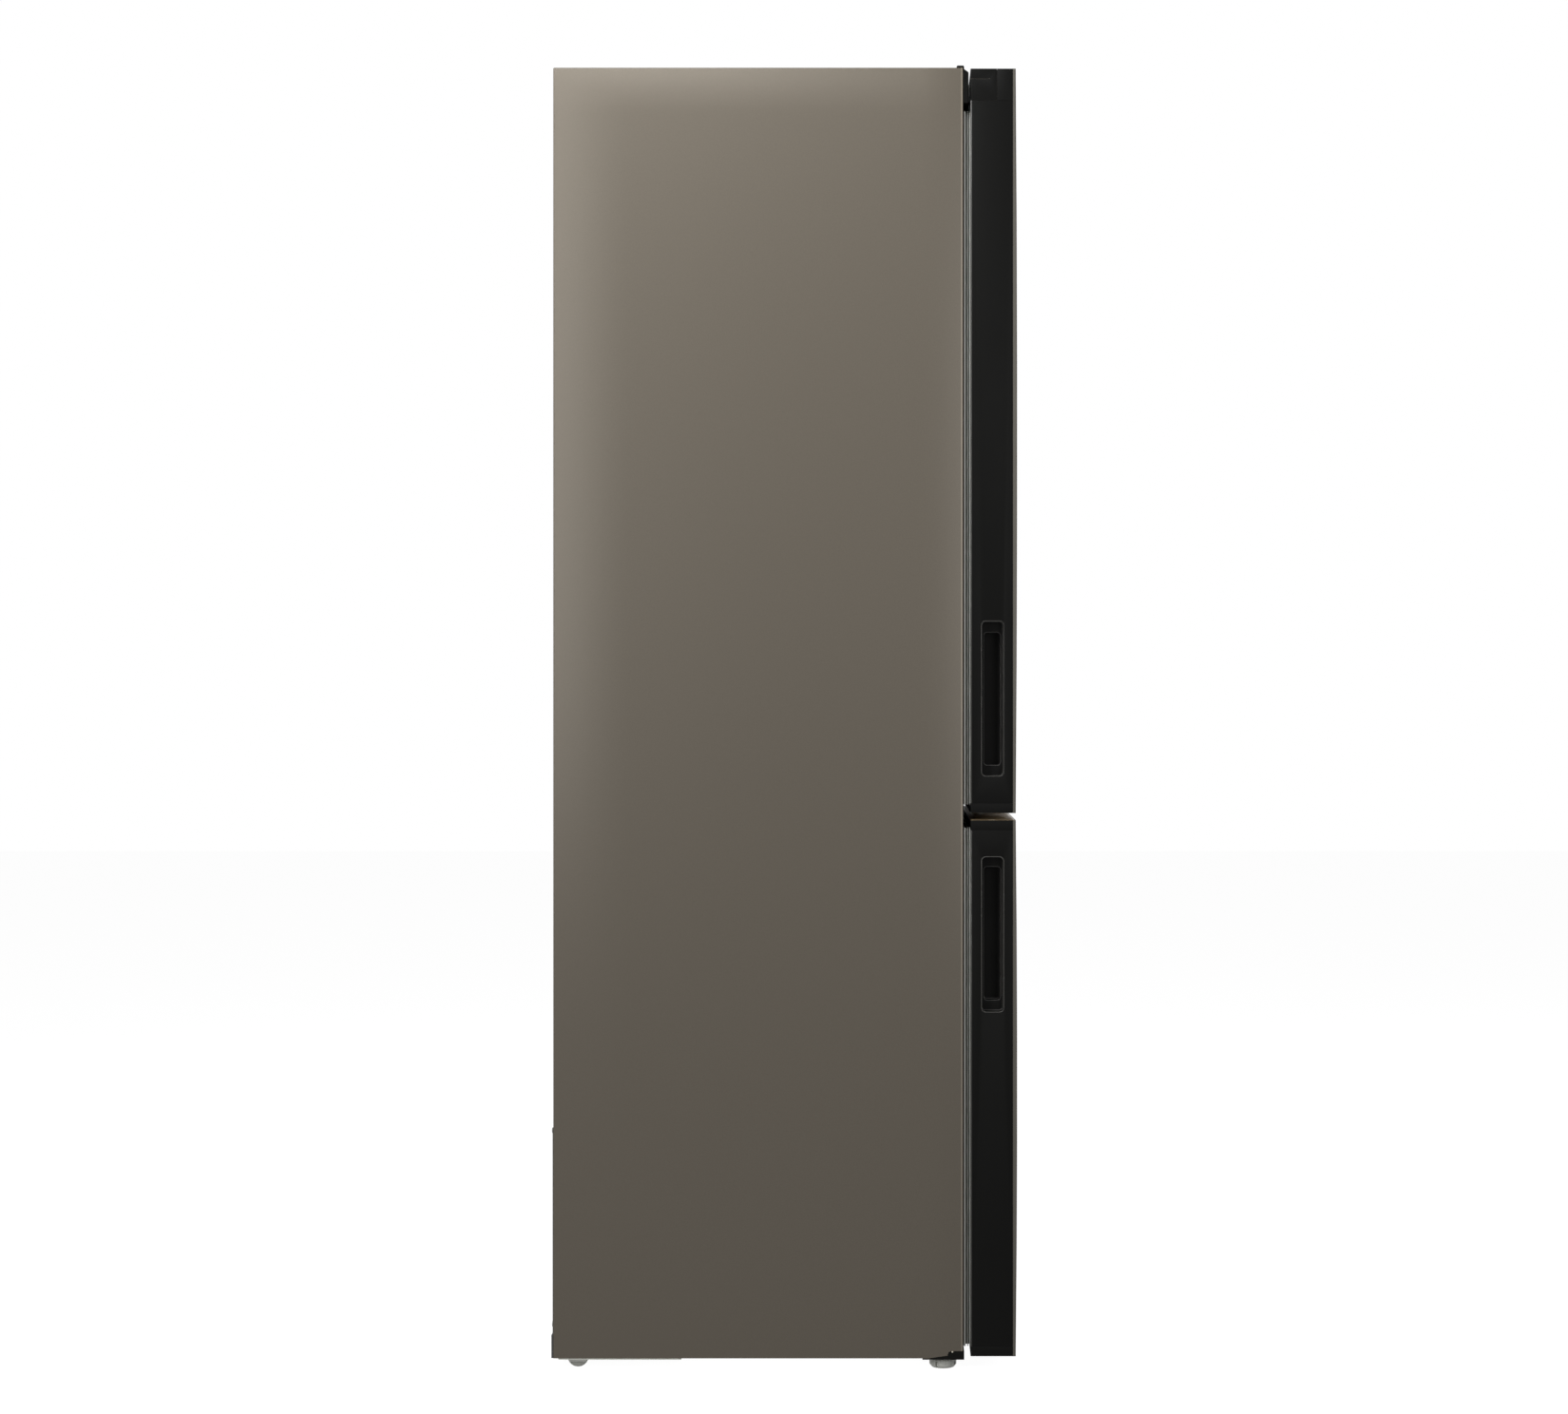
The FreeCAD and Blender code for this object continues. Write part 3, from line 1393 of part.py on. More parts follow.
def make_drawer(name, room_half, run, floor, height):
    """A drawer: a thin-walled box with rounded corners and a scoop in its front for the hand."""
    part = body(name)
    low = floor + S.fit_gap
    pad(part, sketch(part, "XY", low, rect((-room_half, room_half), run)), height)
    fillet(part, edges(part, "Z", x=(-room_half, room_half)), S.drawer_corner)
    chamfer(part, rim_below(part, low), S.drawer_edge)
    hollow(part, [(0, 0, 1)], S.drawer_wall)
    scoop_low = low + height - S.scoop_depth
    scoop = rect((-S.scoop_half, S.scoop_half), (scoop_low, low + height))
    pocket(part, sketch(part, "XZ", run[0], scoop), S.drawer_wall * 2)
    fillet(part, edges(part, "Y", x=(-S.scoop_half, S.scoop_half), z=(scoop_low,)), S.scoop_radius)
    keep(part, name)


def make_drawers():
    crisper = (shelf_front, crisper_back)
    make_drawer("crisper_drawer", crisper_half, crisper, fridge_floor, S.crisper_height)
    cover_top = crisper_cover_level + S.glass
    make_drawer("chill_drawer", crisper_half, crisper, cover_top, S.chill_height)
    short = (freezer_drawer_front, freezer_drawer_back)
    deep = (freezer_drawer_front, freezer_top_drawer_back)
    room = freezer_drawer_half
    make_drawer("freezer_drawer_bottom", room, short, freezer_floor, S.freezer_drawer_height)
    middle = freezer_shelf_low + S.glass
    make_drawer("freezer_drawer_middle", room, short, middle, S.freezer_drawer_height)
    top = freezer_shelf_high + S.glass
    make_drawer("freezer_drawer_top", room, deep, top, S.freezer_top_drawer_height)


def make_air_duct():
    """The tall duct on the fridge's back wall, rounded in front, with two columns of vents."""
    part = body("duct")
    back = fridge_back - S.fit_gap
    outline = [
        (-S.duct_half, duct_front),
        (S.duct_half, duct_front),
        (S.duct_half, back),
        (-S.duct_half, back),
    ]
    pad(part, sketch(part, "XY", duct_bottom, outline), duct_top - duct_bottom)
    fronts = edges(part, "Z", y=(duct_front,)) + edges(part, "X", y=(duct_front,))
    fillet(part, fronts, S.duct_edge)
    levels = [level + shelf_pitch / 2 for level in shelf_levels()]
    vents = []
    for level in levels:
        for side in (-1, 1):
            across = (side * S.vent_x - S.vent_half, side * S.vent_x + S.vent_half)
            vents.append(rect(across, (level, level + S.vent_height)))
    pocket(part, sketch(part, "XZ", duct_front, *vents), S.vent_depth)
    keep(part, "air_duct")


def make_lamp():
    """The lamp's lens under the fridge's ceiling."""
    part = body("lens")
    top = fridge_top - S.fit_gap
    outline = rect((-S.lamp_half, S.lamp_half), (lamp_front, lamp_front + S.lamp_depth))
    pad(part, sketch(part, "XY", top - S.lamp_height, outline), S.lamp_height)
    fillet(part, rim_below(part, top - S.lamp_height), S.lamp_edge)
    keep(part, "fridge_lamp")


# Coils, fans and pipes

def swept(lines, radius, start, way):
    """A tube with a many-sided section along a path that starts in the given way."""
    path = Part.Wire([line.toShape() for line in lines])
    side = way.cross(FreeCAD.Vector(0, 0, 1))
    side = side.normalize() if side.Length > TOUCH else FreeCAD.Vector(1, 0, 0)
    corners = []
    for count in range(TUBE_SIDES):
        turn = FreeCAD.Rotation(way, 360 / TUBE_SIDES * (count + 0.5))
        corners.append(start + turn.multVec(side) * float(radius))
    section = Part.makePolygon(corners + corners[:1])
    return path.makePipeShell([section], True, True)


def serpentine(x, rows, pitch, layers, level, radius):
    """One unbroken tube that runs to and fro across, up the front layer and down the rear one."""
    left, right, low, step = float(x[0]), float(x[1]), float(level), float(pitch)
    front, rear = float(layers[0]), float(layers[1])
    spots = [(front, low + step * count) for count in range(rows)]
    spots += [(rear, z) for _, z in reversed(spots)]
    lines = []
    here, there = left, right
    for count, (y, z) in enumerate(spots):
        lines.append(Part.LineSegment(vector(here, y, z), vector(there, y, z)))
        if count + 1 < len(spots):
            next_y, next_z = spots[count + 1]
            bulge = math.copysign(math.hypot(next_y - y, next_z - z) / 2, there - here)
            middle = vector(there + bulge, (y + next_y) / 2, (z + next_z) / 2)
            lines.append(Part.Arc(vector(there, y, z), middle, vector(there, next_y, next_z)))
        here, there = there, here
    return swept(lines, radius, vector(left, front, low), FreeCAD.Vector(1, 0, 0))


def coil(name, middle, across, layers, level, foot):
    """A tube coil with upright wires on both of its faces, which stand on the foot level."""
    x = (middle - across, middle + across)
    tube = shaped(serpentine(x, COIL_ROWS, S.coil_pitch, layers, level, S.coil_tube_radius), name + "_tube")
    top = level + S.coil_pitch * (COIL_ROWS - 1) + S.coil_tube_radius
    wires = []
    for count in range(COIL_WIRES):
        spot = x[0] + 2 * across * ((count + 0.5) / COIL_WIRES)
        run = (spot, spot + S.coil_wire)
        front = layers[0] - S.coil_tube_radius
        back = layers[1] + S.coil_tube_radius
        wires.append(box(run, (front - S.coil_wire, front), (foot, top), "wire"))
        wires.append(box(run, (back, back + S.coil_wire), (foot, top), "wire"))
    keep(group([tube] + wires, name + "_set"), name)


def blade(hub, tip, width, thickness):
    """A twisted blade between a section near the hub and one at the tip, about an upright axis."""
    sections = []
    for radius, lean in zip((hub, tip), BLADE_TURNS):
        turn = math.radians(lean)
        along = FreeCAD.Vector(0, math.cos(turn), math.sin(turn))
        across = FreeCAD.Vector(0, -math.sin(turn), math.cos(turn))
        chord = (width - thickness) / (2 * math.sin(turn))
        chord = min(chord, radius)
        corners = []
        for reach, side in ((-1, -1), (1, -1), (1, 1), (-1, 1)):
            spot = along * (reach * chord) + across * (side * thickness / 2)
            corners.append(FreeCAD.Vector(radius, spot.y, spot.z))
        sections.append(Part.makePolygon(corners + corners[:1]))
    return Part.makeLoft(sections, True, True)


def make_fan(name, axis, spot):
    """A fan: blades fused to a bored hub, about its own upright axis, then turned to its place."""
    width, hub = float(S.fan_width), float(S.fan_hub_radius)
    thickness = float(S.blade_thickness)
    core = Part.makeCylinder(hub, width, FreeCAD.Vector(0, 0, -width / 2))
    tip = math.sqrt(float(S.fan_radius) ** 2 - width ** 2)
    wing = blade(hub * BLADE_ROOT_SHARE, tip, width, thickness)
    wings = []
    for count in range(FAN_BLADES):
        turned = wing.copy()
        turned.rotate(FreeCAD.Vector(), FreeCAD.Vector(0, 0, 1), 360 / FAN_BLADES * count)
        wings.append(turned)
    bore = float(S.shaft_radius + S.pin_clearance)
    hole = Part.makeCylinder(bore, width, FreeCAD.Vector(0, 0, -width / 2))
    fan = shaped(core.fuse(wings).cut(hole).removeSplitter(), name)
    fan.Placement = FreeCAD.Placement(vector(*spot), TURNS[axis])
    keep(fan, name)


def motor(axis, spot, depth):
    """A fan's motor on a cross of two bars, with the shaft that reaches into the hub."""
    x, y, z = spot
    reach = S.fan_radius + S.fan_gap + S.trim_skin
    bar = S.arm_width / 2
    if axis == "Y":
        run = (y, y + depth)
        bars = [box((x - reach, x + reach), run, (z - bar, z + bar)),
                box((x - bar, x + bar), run, (z - reach, z + reach))]
        can = rod("Y", spot, S.motor_radius, S.motor_length)
        shaft = rod("Y", (x, y - S.fan_width, z), S.shaft_radius, S.fan_width)
    else:
        run = (x, x + depth)
        bars = [box(run, (y - reach, y + reach), (z - bar, z + bar)),
                box(run, (y - bar, y + bar), (z - reach, z + reach))]
        can = rod("X", spot, S.motor_radius, S.motor_length)
        shaft = rod("X", (x - S.fan_width, y, z), S.shaft_radius, S.fan_width)
    return fuse(bars + [can, shaft])


def tube(points, radius, bend):
    """A bent tube: straight runs joined by tangent arcs of one radius."""
    corners = [vector(*point) for point in points]
    lines = []
    start = corners[0]
    for before, corner, after in zip(corners, corners[1:], corners[2:]):
        inward = (before - corner).normalize()
        outward = (after - corner).normalize()
        reach = float(bend) * math.tan((math.pi - inward.getAngle(outward)) / 2)
        first, last = corner + inward * reach, corner + outward * reach
        middle = (inward + outward).normalize()
        centre = corner + middle * math.hypot(reach, float(bend))
        lines.append(Part.LineSegment(start, first))
        lines.append(Part.Arc(first, centre - middle * float(bend), last))
        start = last
    lines.append(Part.LineSegment(start, corners[-1]))
    return swept(lines, radius, corners[0], (corners[1] - corners[0]).normalize())


# Freezer air system

def make_freezer_air():
    """The cover in front of the evaporator, the evaporator, and its fan on a motor."""
    part = body("evaporator_front")
    back = cover_front + S.cover_plate
    wide = freezer_half - S.fit_gap
    low = freezer_step_top + S.cover_floor_gap
    outline = rect((-wide, wide), (low, freezer_top - S.fit_gap))
    pad(part, sketch(part, "XZ", cover_front, outline), S.cover_plate, back=True)
    fan_front = freezer_fan_y - S.fan_width / 2
    motor_front = freezer_fan_y + S.fan_width / 2 + S.trim_skin
    inner = S.fan_radius + S.fan_gap
    centre = (sized(0), freezer_fan_level)
    outside, inside = circle(*centre, inner + S.trim_wall), circle(*centre, inner)
    pad(part, sketch(part, "XZ", back, outside, inside), motor_front - back, back=True)
    pocket(part, sketch(part, "XZ", cover_front, inside), S.cover_plate)
    slot_low = low + S.cap_height
    slots = []
    for count in range(INLET_SLOTS):
        middle = S.inlet_slot_pitch * (count - INLET_SLOTS // 2)
        across = (middle - S.inlet_slot_half, middle + S.inlet_slot_half)
        slots.append(rect(across, (slot_low, slot_low + S.inlet_slot_height)))
    pocket(part, sketch(part, "XZ", cover_front, *slots), S.cover_plate)
    keep(part, "evaporator_cover")
    spot = (sized(0), motor_front, freezer_fan_level)
    keep(motor("Y", spot, S.cover_plate), "evaporator_fan_motor")
    make_fan("evaporator_fan", "Y", (0, freezer_fan_y, freezer_fan_level))
    layers = (evaporator_y - S.evaporator_layer_gap / 2, evaporator_y + S.evaporator_layer_gap / 2)
    coil("evaporator", sized(0), S.evaporator_half, layers, evaporator_level, freezer_step_top)


# Machine compartment

def roller_spots():
    """The sides of the two rear rollers."""
    return [side * (half - S.roller_side_inset) for side in (-1, 1)]


def make_base_tray():
    """The tray under the compressor: sides turned up, seats for the compressor, slots for the rollers."""
    part = body("tray")
    front = machine_front + S.steel + S.fit_gap
    sheet_in = inner_half - S.tray_sheet
    top = S.tray_bottom + S.tray_flange_height
    outline = [
        (-inner_half, S.tray_bottom),
        (inner_half, S.tray_bottom),
        (inner_half, top),
        (sheet_in, top),
        (sheet_in, tray_top),
        (-sheet_in, tray_top),
        (-sheet_in, top),
        (-inner_half, top),
    ]
    pad(part, sketch(part, "XZ", front, outline), tray_back - front, back=True)
    seats = [circle(compressor_x + a * S.seat_pitch_x, compressor_y + b * S.seat_pitch_y, S.seat_radius)
             for a in (-1, 1) for b in (-1, 1)]
    pad(part, sketch(part, "XY", tray_top, *seats), S.seat_height)
    reach = S.cheek_half + S.trim_skin
    run = (roller_y - S.roller_radius - S.trim_skin, roller_y + S.roller_radius + S.trim_skin)
    slots = [rect((x - reach, x + reach), run) for x in roller_spots()]
    pocket(part, sketch(part, "XY", tray_top, *slots), S.tray_sheet)
    keep(part, "base_tray")


def roller_bracket(x):
    """A bracket over a roller: two cheeks, a web, flanges on the tray and the axle between the cheeks."""
    outer, inner = S.cheek_half, S.cheek_half - S.cheek_sheet
    run = (roller_y - S.cheek_half, roller_y + S.cheek_half)
    low, top = S.cheek_bottom, S.cheek_top
    flange = tray_top + S.cheek_sheet
    wide = outer + S.cheek_flange
    pieces = [
        box((x - outer, x - inner), run, (low, top)),
        box((x + inner, x + outer), run, (low, top)),
        box((x - outer, x + outer), run, (top - S.cheek_sheet, top)),
        box((x - wide, x - outer), run, (tray_top, flange)),
        box((x + outer, x + wide), run, (tray_top, flange)),
        rod("X", (x - outer, roller_y, S.roller_radius), S.axle_radius, 2 * outer),
    ]
    return fuse(pieces)


def make_roller(name, x):
    """A rear roller with bevelled rims, bored for its axle."""
    part = body(name)
    pad(part, sketch(part, "YZ", 0, circle(0, 0, S.roller_radius)), S.roller_width, symmetric=True)
    chamfer(part, rims(part), S.roller_groove)
    bore = sketch(part, "YZ", 0, circle(0, 0, S.axle_radius + S.pin_clearance))
    pocket(part, bore, S.roller_width, symmetric=True)
    place(part, x, roller_y, S.roller_radius)
    keep(part, name)


def make_rollers():
    keep(group([roller_bracket(x) for x in roller_spots()], "roller_set"), "roller_brackets")
    left, right = roller_spots()
    make_roller("rear_roller_left", left)
    make_roller("rear_roller_right", right)


def make_foot(name, x):
    """A levelling foot: a disc with a rounded sole and notches for turning it, and its stud."""
    part = body(name)
    pad(part, sketch(part, "XY", 0, circle(0, 0, S.foot_radius)), S.foot_height)
    fillet(part, rims(part)[:1], S.foot_round)
    pad(part, sketch(part, "XY", S.foot_height, circle(0, 0, S.stud_radius)), S.stud_top - S.foot_height)
    inner = S.foot_radius - S.foot_notch_depth
    notch = rect((-S.foot_radius - S.foot_notch, -inner), (-S.foot_notch / 2, S.foot_notch / 2))
    slot = pocket(part, sketch(part, "XY", 0, notch), S.foot_height, along=True)
    doc.recompute()
    pattern = part.newObject("PartDesign::PolarPattern", name + "_notches")
    pattern.Originals = [slot]
    roles = {feature.Role: feature for feature in part.Origin.OriginFeatures}
    pattern.Axis = (roles["Z_Axis"], [""])
    pattern.Angle = 360
    pattern.Occurrences = FOOT_NOTCHES
    part.Tip = pattern
    turn = FreeCAD.Rotation(FreeCAD.Vector(0, 0, 1), FOOT_TURN)
    part.Placement = FreeCAD.Placement(FreeCAD.Vector(), turn)
    place(part, x, foot_y, 0)
    keep(part, name)


def make_rear_cover():
    """The cover over the machine compartment: louvres, a bumper rib along its foot and screw holes."""
    part = body("cover")
    wide = half - S.cover_side_inset
    top = machine_top + S.cover_overlap
    plate = rect((-wide, wide), (cabinet_bottom, top))
    pad(part, sketch(part, "XZ", cabinet_back, plate), S.cover_sheet, back=True)
    rib = rect((-wide, wide), (cabinet_bottom, S.cover_rib_top))
    pad(part, sketch(part, "XZ", cabinet_back, rib), S.rear_reach, back=True)
    row = []
    for count in range(LOUVRE_COLUMNS):
        middle = S.louvre_column_pitch * (count - (LOUVRE_COLUMNS - 1) / 2)
        across = (middle - S.louvre_length / 2, middle + S.louvre_length / 2)
        row.append(rect(across, (S.louvre_level, S.louvre_level + S.louvre_height)))
    slots = pocket(part, sketch(part, "XZ", cabinet_back, *row), S.cover_sheet)
    doc.recompute()
    pattern = part.newObject("PartDesign::LinearPattern", "cover_louvres")
    pattern.Originals = [slots]
    roles = {feature.Role: feature for feature in part.Origin.OriginFeatures}
    pattern.Direction = (roles["Z_Axis"], [""])
    bind(pattern, "Length", S.louvre_pitch * (LOUVRE_ROWS - 1))
    pattern.Occurrences = LOUVRE_ROWS
    part.Tip = pattern
    holes = [circle(x, z, S.screw_shank) for x, z in cover_screws()]
    holes.append(circle(gland_x, S.gland_level, S.gland_radius))
    pocket(part, sketch(part, "XZ", cabinet_back, *holes), S.cover_sheet)
    keep(part, "rear_cover")


def make_cord_gland():
    """The bored bush in the rear cover where the supply lead would enter."""
    face = cabinet_back + S.cover_sheet
    start = (gland_x, face - S.gland_length, S.gland_level)
    neck = rod("Y", start, S.gland_radius, S.gland_length)
    flange = rod("Y", (gland_x, face, S.gland_level), S.gland_flange_radius, S.gland_flange)
    bore = rod("Y", start, S.gland_bore, S.gland_length + S.gland_flange)
    keep(cut(fuse([neck, flange]), [bore]), "cord_gland")


def make_compressor():
    """The sealed can with domed ends, its seam, its foot plate on four seats and its terminal box."""
    part = body("can")
    width, deep = S.seat_pitch_x + S.seat_radius, S.seat_pitch_y + S.seat_radius
    pad(part, sketch(part, "XY", S.foot_plate, circle(0, 0, S.compressor_radius)), S.compressor_height)
    chamfer(part, rims(part)[:1], S.compressor_shoulder / 2)
    fillet(part, rims(part)[-1:], S.compressor_shoulder)
    seam = sketch(part, "XY", S.compressor_height / 2, circle(0, 0, S.compressor_radius + S.compressor_seam))
    pad(part, seam, S.compressor_seam * 2)
    plate = rect((-width, width), (-deep, deep))
    pad(part, sketch(part, "XY", 0, plate), S.foot_plate)
    fillet(part, edges(part, "Z", x=(-width, width), y=(-deep, deep)), S.seat_radius)
    side = S.terminal_box / 2
    terminal = rect((S.compressor_radius - side, S.compressor_radius + side), (-side, side))
    pad(part, sketch(part, "XY", S.terminal_box, terminal), S.terminal_box * 2)
    place(part, compressor_x, compressor_y, tray_top + S.seat_height)
    keep(part, "compressor")


def make_drain_pan():
    part = body("pan")
    outline = rect((-S.pan_half_x, S.pan_half_x), (-S.pan_half_y, S.pan_half_y))
    pad(part, sketch(part, "XY", 0, outline), S.pan_height)
    fillet(part, edges(part, "Z", x=(-S.pan_half_x, S.pan_half_x)), S.pan_corner)
    hollow(part, [(0, 0, 1)], S.pan_wall)
    low = tray_top + S.seat_height + S.foot_plate + S.compressor_height + S.fit_gap
    place(part, compressor_x, compressor_y, low)
    keep(part, "drain_pan")


def make_pipes():
    """The suction pipe into the insulation above, and the discharge pipe with its drier."""
    x, y, radius = compressor_x, compressor_y, float(S.compressor_radius)
    rear = y + S.compressor_radius
    back = rear + S.pipe_reach
    roof = machine_top - S.steel
    suction = tube([
        (x, rear, S.pipe_level),
        (x, back, S.pipe_level),
        (x, back, pipe_roof),
        (x, back - S.pipe_inset, pipe_roof),
        (x, back - S.pipe_inset, roof),
    ], S.pipe_radius, S.pipe_bend)
    side = abs(float(discharge_y - y)) - float(S.pipe_radius)
    left = float(x) - math.sqrt(radius ** 2 - side ** 2)
    coil_top = S.condenser_level + S.coil_pitch * (COIL_ROWS - 1) + S.coil_tube_radius
    reach = left - float(S.pipe_reach * 2)
    discharge = tube([
        (left, discharge_y, S.discharge_level),
        (reach, discharge_y, S.discharge_level),
        (reach, discharge_y, S.discharge_roof),
        (discharge_x, discharge_y, S.discharge_roof),
        (discharge_x, discharge_y, coil_top),
    ], S.pipe_radius, S.pipe_bend)
    start = (discharge_x + S.drier_length / 2, discharge_y, S.discharge_roof)
    drier = rod("X", start, S.drier_radius, S.drier_length)
    joined = fuse([shaped(discharge, "discharge"), drier])
    keep(group([shaped(suction, "suction"), joined], "pipes"), "refrigerant_pipes")


def make_machine_fan():
    """The fan between the condenser and the compressor, in a square frame that stands on the tray."""
    frame_half = S.fan_frame_half
    back = fan_x + S.fan_width / 2 + S.trim_skin
    front = back - S.fan_frame_depth
    y, z = compressor_y, S.fan_level
    plate = box((front, back), (y - frame_half, y + frame_half), (tray_top, z + frame_half))
    hole = rod("X", (front, y, z), S.fan_radius + S.fan_gap, S.fan_frame_depth)
    frame = cut(plate, [hole])
    keep(fuse([frame, motor("X", (back, y, z), S.cover_plate)]), "condenser_fan_frame")
    make_fan("condenser_fan", "X", (fan_x, y, z))


def make_machine_room():
    make_base_tray()
    make_rollers()
    make_foot("front_foot_left", -foot_x)
    make_foot("front_foot_right", foot_x)
    make_rear_cover()
    make_cord_gland()
    make_compressor()
    make_drain_pan()
    make_pipes()
    layers = (compressor_y - S.coil_layer_gap / 2, compressor_y + S.coil_layer_gap / 2)
    coil("condenser", condenser_x, condenser_half, layers, S.condenser_level, tray_top)
    make_machine_fan()


def screw(axis, face, grip, sign):
    """A screw in a face: its head stands out by the sign of its way, and its shank fills the grip."""
    x, y, z = face
    starts = (0, -grip) if sign > 0 else (-S.screw_head, 0)
    head, shank = [(x, y + start, z) if axis == "Y" else (x, y, z + start) for start in starts]
    return fuse([rod(axis, head, S.screw_radius, S.screw_head), rod(axis, shank, S.screw_shank, grip)])


def make_screws():
    """Every screw that shows: rear cover, hinge bases, bottom hinge and corner bracket."""
    face = cabinet_back + S.cover_sheet
    screws = [screw("Y", (x, face, z), S.cover_sheet + S.steel, 1) for x, z in cover_screws()]
    for middle, height in ((arm_bottom, S.top_base_height), (gap_middle, S.mid_base_height)):
        for x, z in base_screws(middle - height / 2, middle + height / 2):
            screws.append(screw("Y", (x, base_front, z), S.base_thickness, -1))
    hinge_bottom = cabinet_bottom - S.bottom_hinge_thickness
    screws += [screw("Z", (x, y, hinge_bottom), S.bottom_hinge_thickness, -1) for x, y in hinge_screws()]
    bracket_bottom = cabinet_bottom - S.bracket_thickness
    screws += [screw("Z", (x, y, bracket_bottom), S.bracket_thickness, -1) for x, y in bracket_screws()]
    keep(group(screws, "screw_set"), "screws")


def build():
    """Every sub-part, from the outside in."""
    make_cabinet_shell()
    make_back_panel()
    make_step_plate()
    make_cabinet_foam()
    make_liners()
    make_center_rail()
    make_top_front_trim()
    make_top_hinge()
    make_mid_hinge()
    make_bottom_hinge()
    make_corner_bracket()
    make_fridge_door()
    make_freezer_door()
    make_glass_shelves()
    make_shelf_trims()
    make_crisper_cover()
    make_drawers()
    make_air_duct()
    make_lamp()
    make_freezer_air()
    make_machine_room()
    make_screws()


build()
doc.recompute()
for item in doc.Objects:
    if {"Invalid", "Error"} & set(item.State):
        raise RuntimeError(f"{item.Name} of {item.TypeId} failed: {item.State}")
os.makedirs("parts", exist_ok=True)
for item in nodes:
    if item.Shape.isNull() or not item.Shape.isValid():
        raise RuntimeError(f"{item.Label} has no valid shape")
    item.Shape.exportStep(f"parts/{item.Label}.step")
print(len(nodes), "sub-parts")
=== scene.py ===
"""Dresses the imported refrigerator: finishes, fine trim, lights and the camera of the side view."""

import json
import math

import bmesh
import bpy
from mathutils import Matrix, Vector


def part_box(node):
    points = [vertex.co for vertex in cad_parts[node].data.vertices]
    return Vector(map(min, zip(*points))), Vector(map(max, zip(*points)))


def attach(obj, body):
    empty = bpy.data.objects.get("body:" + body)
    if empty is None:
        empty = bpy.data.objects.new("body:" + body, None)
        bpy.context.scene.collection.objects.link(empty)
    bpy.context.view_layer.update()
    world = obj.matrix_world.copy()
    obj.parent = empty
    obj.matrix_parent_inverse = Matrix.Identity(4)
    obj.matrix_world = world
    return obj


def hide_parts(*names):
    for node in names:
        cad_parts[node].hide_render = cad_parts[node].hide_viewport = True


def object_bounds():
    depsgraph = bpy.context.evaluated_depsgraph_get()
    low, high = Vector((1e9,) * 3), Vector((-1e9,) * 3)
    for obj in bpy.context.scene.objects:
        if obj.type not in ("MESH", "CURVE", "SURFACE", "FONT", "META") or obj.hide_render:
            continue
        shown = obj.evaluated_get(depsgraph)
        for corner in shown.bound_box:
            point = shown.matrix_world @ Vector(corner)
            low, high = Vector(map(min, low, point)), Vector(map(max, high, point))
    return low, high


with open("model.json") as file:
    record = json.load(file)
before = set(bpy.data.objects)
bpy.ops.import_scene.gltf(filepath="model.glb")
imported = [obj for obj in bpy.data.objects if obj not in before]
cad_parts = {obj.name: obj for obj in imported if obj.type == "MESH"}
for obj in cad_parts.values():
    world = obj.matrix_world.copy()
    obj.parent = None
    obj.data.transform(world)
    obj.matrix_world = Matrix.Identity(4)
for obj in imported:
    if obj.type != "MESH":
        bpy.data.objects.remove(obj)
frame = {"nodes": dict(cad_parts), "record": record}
NODES = frame["nodes"]
SLOT_OF = {row["node"]: row["material_slot"] for row in frame["record"]["subparts"]}
BODY_OF = {node: body for body, nodes in frame["record"]["behaviour"]["bodies"].items() for node in nodes}
CAD_LOW, CAD_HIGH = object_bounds()

MM = 0.001


def span(node):
    """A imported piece's low and high corners, in millimetres."""
    low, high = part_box(node)
    return low / MM, high / MM


def link(piece):
    bpy.context.scene.collection.objects.link(piece)
    return piece


# The photograph's frame, in pixels, and what its perspective gives

IMAGE_WIDTH = 1650
IMAGE_HEIGHT = 1488
PRINCIPAL_X = 944.9
PRINCIPAL_Y = 742.5
FOCAL_PIXELS = 2967.7
SENSOR_WIDTH = 36
EYE_DISTANCE = 4.0
EYE_Y = -0.1613
EYE_Z = 0.945


def make_camera():
    data = bpy.data.cameras.new("eye")
    data.sensor_width = SENSOR_WIDTH
    data.lens = FOCAL_PIXELS / IMAGE_WIDTH * SENSOR_WIDTH
    data.shift_x = (IMAGE_WIDTH / 2 - PRINCIPAL_X) / IMAGE_WIDTH
    data.shift_y = (PRINCIPAL_Y - IMAGE_HEIGHT / 2) / IMAGE_WIDTH
    camera = link(bpy.data.objects.new("eye", data))
    camera.location = (CAD_LOW.x - EYE_DISTANCE, EYE_Y, EYE_Z)
    camera.rotation_euler = Vector((1, 0, 0)).to_track_quat("-Z", "Y").to_euler()
    bpy.context.scene.camera = camera


# Materials

# Where nearly all of a noise's values lie, and how deep a fine grain is
NOISE_LOW = 0.3
NOISE_HIGH = 0.7
GRAIN_RELIEF = 0.2 * MM


def linear(red, green, blue):
    """A colour written as the eye sees it, 0 to 255, in the renderer's own values."""
    values = []
    for part in (red, green, blue):
        share = part / 255
        values.append(share / 12.92 if share <= 0.04045 else ((share + 0.055) / 1.055) ** 2.4)
    return (*values, 1)


